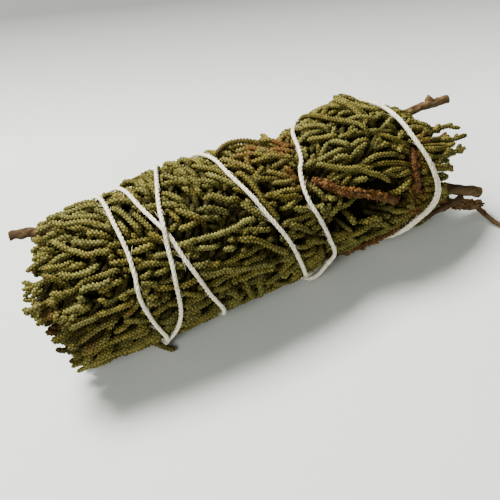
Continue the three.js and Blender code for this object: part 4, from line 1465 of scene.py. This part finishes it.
def foliage_material():
    m = Nodes("foliage")
    tone, tint, rust = m.leaf()
    share = m.add("ShaderNodeMath", operation="MULTIPLY_ADD", use_clamp=True)
    patch = m.ramp(m.noise(*LEAF_PATCH_NOISE), LEAF_PATCHES)
    for socket, value in zip(share.inputs, (tint, TINT_SHARE, patch)):
        m.put(socket, value)
    green = m.blend(share.outputs[0], m.ramp(tone, OLIVE), m.ramp(tone, GREY_OLIVE))
    m.bump(m.noise(*LEAF_GRAIN), *LEAF_BUMP)
    return m.finish(m.blend(rust, green, m.ramp(tone, RUST_LEAF)), *LEAF_FINISH)


def rust_material():
    m = Nodes("rust")
    m.bump(m.noise(*LEAF_GRAIN), *LEAF_BUMP)
    return m.finish(m.ramp(m.leaf()[0], RUST_TWIG), *RUST_FINISH)


def string_material():
    m = Nodes("string")
    m.shader.inputs["Sheen Weight"].default_value = COTTON_SHEEN
    m.bump(m.noise(*COTTON_GRAIN), *COTTON_BUMP)
    return m.finish(m.ramp(m.noise(*COTTON_NOISE), COTTON), *COTTON_FINISH)


def bark_material(name, shade):
    m = Nodes(name)
    long_ = m.add("ShaderNodeMapping", {"Vector": m.spot, "Scale": BARK_STRETCH}).outputs["Vector"]
    ridges = m.noise(*BARK_RIDGES, long_)
    colour = m.ramp(ridges, [(at, tuple(shade * part for part in tone)) for at, tone in BARK_TONES])
    patch = m.ramp(m.noise(*BARK_PATCH_NOISE), BARK_PATCHES)
    m.bump(ridges, *BARK_BUMP)
    return m.finish(m.blend(patch, colour, (*(part * shade for part in BARK_PATCH), 1)), *BARK_FINISH)


def inside_material():
    # Painted shade: the inside is a near-black sheet where the bundle is only in shade
    m = Nodes("inside")
    return m.finish(m.ramp(m.noise(*INSIDE_SHADE_NOISE), INSIDE_SHADE), *INSIDE_FINISH)


FOLIAGE = foliage_material()
INSIDE = inside_material()
STRING = string_material()
BARK = bark_material("bark", 1.0)
DARK_BARK = bark_material("dark_bark", DARK_SHADE)
RUST = rust_material()

for key, skin in skins.items():
    spray = f"spray_{key[0]}_{key[1] + 1:02d}"
    skin.piece(f"{spray}_leaves", FOLIAGE, spray, "foliage")
    inside[key].piece(f"{spray}_inside", INSIDE, spray, "foliage")

# String: depth of its middle, plies and their twist
STRING_DEPTH = 0.7
STRING_RADIUS = 0.6
PLY_RADIUS = 0.26
PLY_OFFSET = 0.22
PLY_PITCH = 3.2
PLY_SIDES = 6
PLY_STEP = 0.45
PLIES = 3
PLY_WAVE = (0.08, 2.3)
PLY_UNEVEN = 0.03
STRING_CLEAR = 0.02
WOUND_STEP = 1.5
PLAIN = (0.5, 0.5, 0.0)

# Fibres that stand off: how many, length, radius along them, where they start, how far out, and their bend
FUZZ_COUNT = 450
FUZZ_LENGTH = (0.8, 2.0)
FUZZ_RADII = (0.045, 0.04, 0.035, 0.03, 0.02)
FUZZ_SIDES = 3
FUZZ_FROM = 0.45
FUZZ_OUT = 0.35
FUZZ_SHARE = (0.3, 1)
FUZZ_BEND = 0.25
FUZZ_CLEAR = 0.1

# The knot on the hidden side: place, turn in degrees, how far it stands out
KNOT_ROUTES = [
    [[30.4, -90, 0.2], [32.5, -90, 0.6], [34.6, -90, 0.2]],
    [[31.2, -90, 0.3], [30.2, -99, 1.0], [29.4, -108, 0.6], [28.8, -117, 0.9]],
    [[33.8, -90, 0.3], [35.2, -98, 1.1], [36.6, -104, 0.9], [38.0, -109, 1.4]],
]

# Where the first and last turns lie side by side they are drawn together: turns wound, shift along X
TOGETHER = np.array([
    [-270, 0], [-90, 0], [-50, -0.5], [60, -0.5], [110, 0], [2040, 0], [2080, 0.5], [2210, 0.5], [2250, 0],
], float)


def in_layer(route, outward=-1):
    """Points of a route whose rows are place, turn in degrees and depth, or height if outward is 1."""
    x, degrees, deep = np.array(route, float).T
    return place(x, degrees * DEGREE, reach(x, degrees * DEGREE) + outward * deep)


def string_path():
    wound = np.arange(STRING_ROUTE[0, 0], STRING_ROUTE[-1, 0], WOUND_STEP)
    x = smooth(STRING_ROUTE, wound)[0] + np.interp(wound, TOGETHER[:, 0], TOGETHER[:, 1])
    turn = -wound * DEGREE
    free = to_level(x, turn, TABLE_TOP + STRING_CLEAR + STRING_RADIUS)
    distance = np.minimum(reach(x, turn) - STRING_DEPTH + lift(wound), free)
    return place(x, turn, distance)


def twisted(skin, points, random):
    """Plies of one strand twisted round its path."""
    path = even_path(points, PLY_STEP)
    _, up, across = frames(path)
    run = PLY_STEP * np.arange(len(path))
    high, fast = PLY_WAVE
    for ply in range(PLIES):
        angle = FULL_TURN * (run / PLY_PITCH + ply / PLIES)
        off = np.cos(angle)[:, None] * across + np.sin(angle)[:, None] * up
        uneven = high * np.sin(run * fast + ply) + random.normal(0, PLY_UNEVEN, len(run))
        tube(skin, path + PLY_OFFSET * off, PLY_RADIUS * (1 + uneven), PLY_SIDES, PLAIN)
    return path


def fuzz(skin, path, random):
    """Thin fibres that stand off the string."""
    ahead, up, across = frames(path)
    for _ in range(FUZZ_COUNT):
        k = random.integers(2, len(path) - 2)
        angle = random.uniform(0, FULL_TURN)
        spoke = math.cos(angle) * across[k] + math.sin(angle) * up[k]
        length = random.uniform(*FUZZ_LENGTH)
        bend = random.normal(0, FUZZ_BEND, 3)
        t = np.linspace(0, 1, len(FUZZ_RADII))[:, None]
        lead = ahead[k] * random.choice([-1, 1])
        out = FUZZ_FROM + FUZZ_OUT * t * length * random.uniform(*FUZZ_SHARE)
        line = path[k] + spoke * out + lead * length * t + bend * t * t
        if line[:, 2].min() >= TABLE_TOP + FUZZ_CLEAR:
            tube(skin, line, FUZZ_RADII, FUZZ_SIDES, PLAIN)


string_skin = Skin()
string_random = np.random.default_rng(SEEDS["string"])
strand = twisted(string_skin, string_path(), string_random)
for route in KNOT_ROUTES:
    twisted(string_skin, in_layer(route, 1), string_random)
fuzz(string_skin, strand, string_random)
string_skin.piece("string_plies", STRING, "string", "string")

# Bark: sides and steps of a stem, its bumps, and the waves that they are made of
BARK_SIDES = 12
BARK_STEP = 0.4
BARK_ROUGH = 0.12
OUTER_ROUGH = 0.2
BARK_LIMITS = (0.72, 1.25)
WAVES = 26
WAVES_ROUND = (1, 4)
WAVES_ALONG = (0.3, 3.0)
WAVE_HIGH = 0.3
WAVE_SHARE = 1.5

# Loose scales: length, radius along them, where they start, how far out and ahead, and their tones
FLAKE_LENGTH = (0.5, 1.1)
FLAKE_RADII = (0.24, 0.3, 0.22, 0.07)
FLAKE_SIDES = 5
FLAKE_FROM = 0.85
FLAKE_OUT = (0.1, 0.6)
FLAKE_AHEAD = (-0.2, 1.0)
FLAKE_TONES = (0.1, 0.75)
FLAKE_CLEAR = 0.4


def woody(skin, points, radii, random, rough):
    """A stem with uneven bark and a cut end."""
    path = even_path(points, BARK_STEP)
    run = np.linspace(0, 1, len(path))
    bumps = np.zeros((len(path), BARK_SIDES))
    angle = FULL_TURN * np.arange(BARK_SIDES) / BARK_SIDES
    length = BARK_STEP * len(path)
    for _ in range(WAVES):
        waves = random.integers(*WAVES_ROUND)
        along = random.uniform(*WAVES_ALONG)
        bumps += random.normal(0, WAVE_HIGH) * np.sin(
            waves * angle[None, :] + along * length * run[:, None] + random.uniform(0, FULL_TURN)
        )
    wobble = np.clip(1 + rough * bumps / WAVE_SHARE, *BARK_LIMITS)
    tube(skin, path, mix(radii[0], radii[1], run), BARK_SIDES, PLAIN, wobble)


def flakes(skin, path, radius, count, random):
    """Loose scales that stand off a twig."""
    ahead, up, across = frames(path)
    for _ in range(count):
        k = random.integers(1, len(path) - 1)
        angle = random.uniform(0, FULL_TURN)
        spoke = math.cos(angle) * across[k] + math.sin(angle) * up[k]
        length = random.uniform(*FLAKE_LENGTH)
        t = np.linspace(0, 1, len(FLAKE_RADII))[:, None]
        line = path[k] + spoke * (FLAKE_FROM * radius + random.uniform(*FLAKE_OUT) * length * t)
        line = line + ahead[k] * random.uniform(*FLAKE_AHEAD) * length * t
        if line[:, 2].min() >= TABLE_TOP + FLAKE_CLEAR:
            tube(skin, line, FLAKE_RADII, FLAKE_SIDES, (random.uniform(*FLAKE_TONES), 0.5, 1.0))


def stem_piece(name, parts, seed, material=BARK, rough=BARK_ROUGH):
    skin = Skin()
    random = np.random.default_rng(seed)
    for radii, points in parts:
        woody(skin, points, radii, random, rough)
    skin.piece(f"{name}_bark", material, name, "bark")


ADDED_PARTS = {"stem_rough": [ROUGH_BRANCH], "stem_top": [TOP_KNOB]}
for number, (name, stem) in enumerate(STEMS.items()):
    stem_piece(name, [stem] + ADDED_PARTS.get(name, []), SEEDS["stems"] + number)
for number, (name, (radii, route)) in enumerate(OUTER_STEMS.items()):
    stem_piece(name, [(radii, in_layer(route))], SEEDS["outer"] + number, DARK_BARK, OUTER_ROUGH)

# Reddish crumbs on the rough stem and its branch: the stem, where along it they begin, and how many
CRUMBS = [(STEMS["stem_rough"], 0.5, 160), (ROUGH_BRANCH, 0.0, 26)]
CRUMB_STEP = 0.5

crumbs = Skin()
for (radii, route), begin, count in CRUMBS:
    path = even_path(route, CRUMB_STEP)
    path = path[int(begin * len(path)):]
    flakes(crumbs, path, radii[1], count, np.random.default_rng(count))
crumbs.piece("stem_rough_flakes", RUST, "stem_rough", "rust")

# Rust twigs: radius beside that of a cord, how uneven, scale leaves round them, and loose scales for each mm
TWIG_SHARE = 0.64
TWIG_ROUGH = 0.11
TWIG_ROWS = 10
TWIG_FLAKES = 4.5

for number, (name, (radius, route)) in enumerate(RUST_TWIGS.items()):
    skin = Skin()
    random = np.random.default_rng(SEEDS["twigs"] + number)
    twig = even_path(in_layer(route))
    leafy(skin, twig, random, 0.5, 1.0, radius / TWIG_SHARE, rough=TWIG_ROUGH, rows=TWIG_ROWS)
    flakes(skin, twig, radius, int(TWIG_FLAKES * PATH_STEP * len(twig)), random)
    skin.piece(f"{name}_scales", RUST, name, "rust")

# The pale sweep that it lies on, darker toward the back as painted shade
SWEEP_NEAR = -0.6
SWEEP_FAR = 0.5
SWEEP_WIDE = 1.6
SWEEP_RADIUS = 0.25
SWEEP_HIGH = 0.9
SWEEP_STEPS = 16
SWEEP_AWAY = (math.sin(CAMERA_AZIMUTH), math.cos(CAMERA_AZIMUTH), 0.0)
# Painted shade: between these distances toward the back the sweep darkens to its far tone
SWEEP_SHADE_FROM = 0.052
SWEEP_SHADE_TO = 0.115
SWEEP_TONES = [(0.0, (0.62, 0.66, 0.61)), (1.0, (0.13, 0.135, 0.13))]
SWEEP_FINISH = (0.75, 0.2)

# Lights: azimuth from the camera's side and height in degrees, distance, size, power, colour
LIGHTS = {
    "key": (205, 60, 0.7, 0.26, 18.0, (1.0, 0.985, 0.95)),
    "side": (305, 34, 0.8, 0.3, 4.4, (1.0, 0.99, 0.97)),
}
WORLD_COLOUR = (0.97, 0.99, 0.98, 1)
WORLD_STRENGTH = 0.13


def sweep():
    profile = [(SWEEP_NEAR, 0.0), (SWEEP_FAR, 0.0)]
    for k in range(1, SWEEP_STEPS + 1):
        angle = math.pi / 2 * k / SWEEP_STEPS
        profile.append((SWEEP_FAR + SWEEP_RADIUS * math.sin(angle), SWEEP_RADIUS * (1 - math.cos(angle))))
    profile.append((SWEEP_FAR + SWEEP_RADIUS, SWEEP_HIGH))
    turn = Matrix.Rotation(-CAMERA_AZIMUTH, 4, "Z")
    points = [turn @ Vector((x, y, z)) for x in (-SWEEP_WIDE, SWEEP_WIDE) for y, z in profile]
    count = len(profile)
    faces = [(k, k + count, k + count + 1, k + 1) for k in range(count - 1)]
    mesh = bpy.data.meshes.new("sweep")
    mesh.from_pydata(points, [], faces)
    mesh.polygons.foreach_set("use_smooth", [True] * len(faces))
    m = Nodes("sweep")
    # Painted shade: the colour darkens with the distance toward the back
    away = m.add("ShaderNodeVectorMath", {0: m.spot, 1: SWEEP_AWAY}, operation="DOT_PRODUCT")
    fade = {"Value": away.outputs["Value"], "From Min": SWEEP_SHADE_FROM, "From Max": SWEEP_SHADE_TO}
    away = m.add("ShaderNodeMapRange", fade)
    mesh.materials.append(m.finish(m.ramp(away.outputs["Result"], SWEEP_TONES), *SWEEP_FINISH))
    made = bpy.data.objects.new("sweep", mesh)
    bpy.context.collection.objects.link(made)


def area_light(name, azimuth, height, distance, size, power, colour):
    """A square light at an azimuth from the camera's side, aimed at the bundle."""
    data = bpy.data.lights.new(name, "AREA")
    data.size = size
    data.energy = power
    data.color = colour
    light = bpy.data.objects.new(name, data)
    a = azimuth * DEGREE
    h = height * DEGREE
    back = Vector((math.sin(a) * math.cos(h), -math.cos(a) * math.cos(h), math.sin(h)))
    light.location = back * distance
    light.rotation_euler = back.to_track_quat("Z", "Y").to_euler()
    bpy.context.collection.objects.link(light)


def add_lights():
    for name, light in LIGHTS.items():
        area_light(name, *light)
    world = bpy.data.worlds.new("world")
    world.use_nodes = True
    background = world.node_tree.nodes["Background"]
    background.inputs["Color"].default_value = WORLD_COLOUR
    background.inputs["Strength"].default_value = WORLD_STRENGTH
    bpy.context.scene.world = world


sweep()
add_lights()
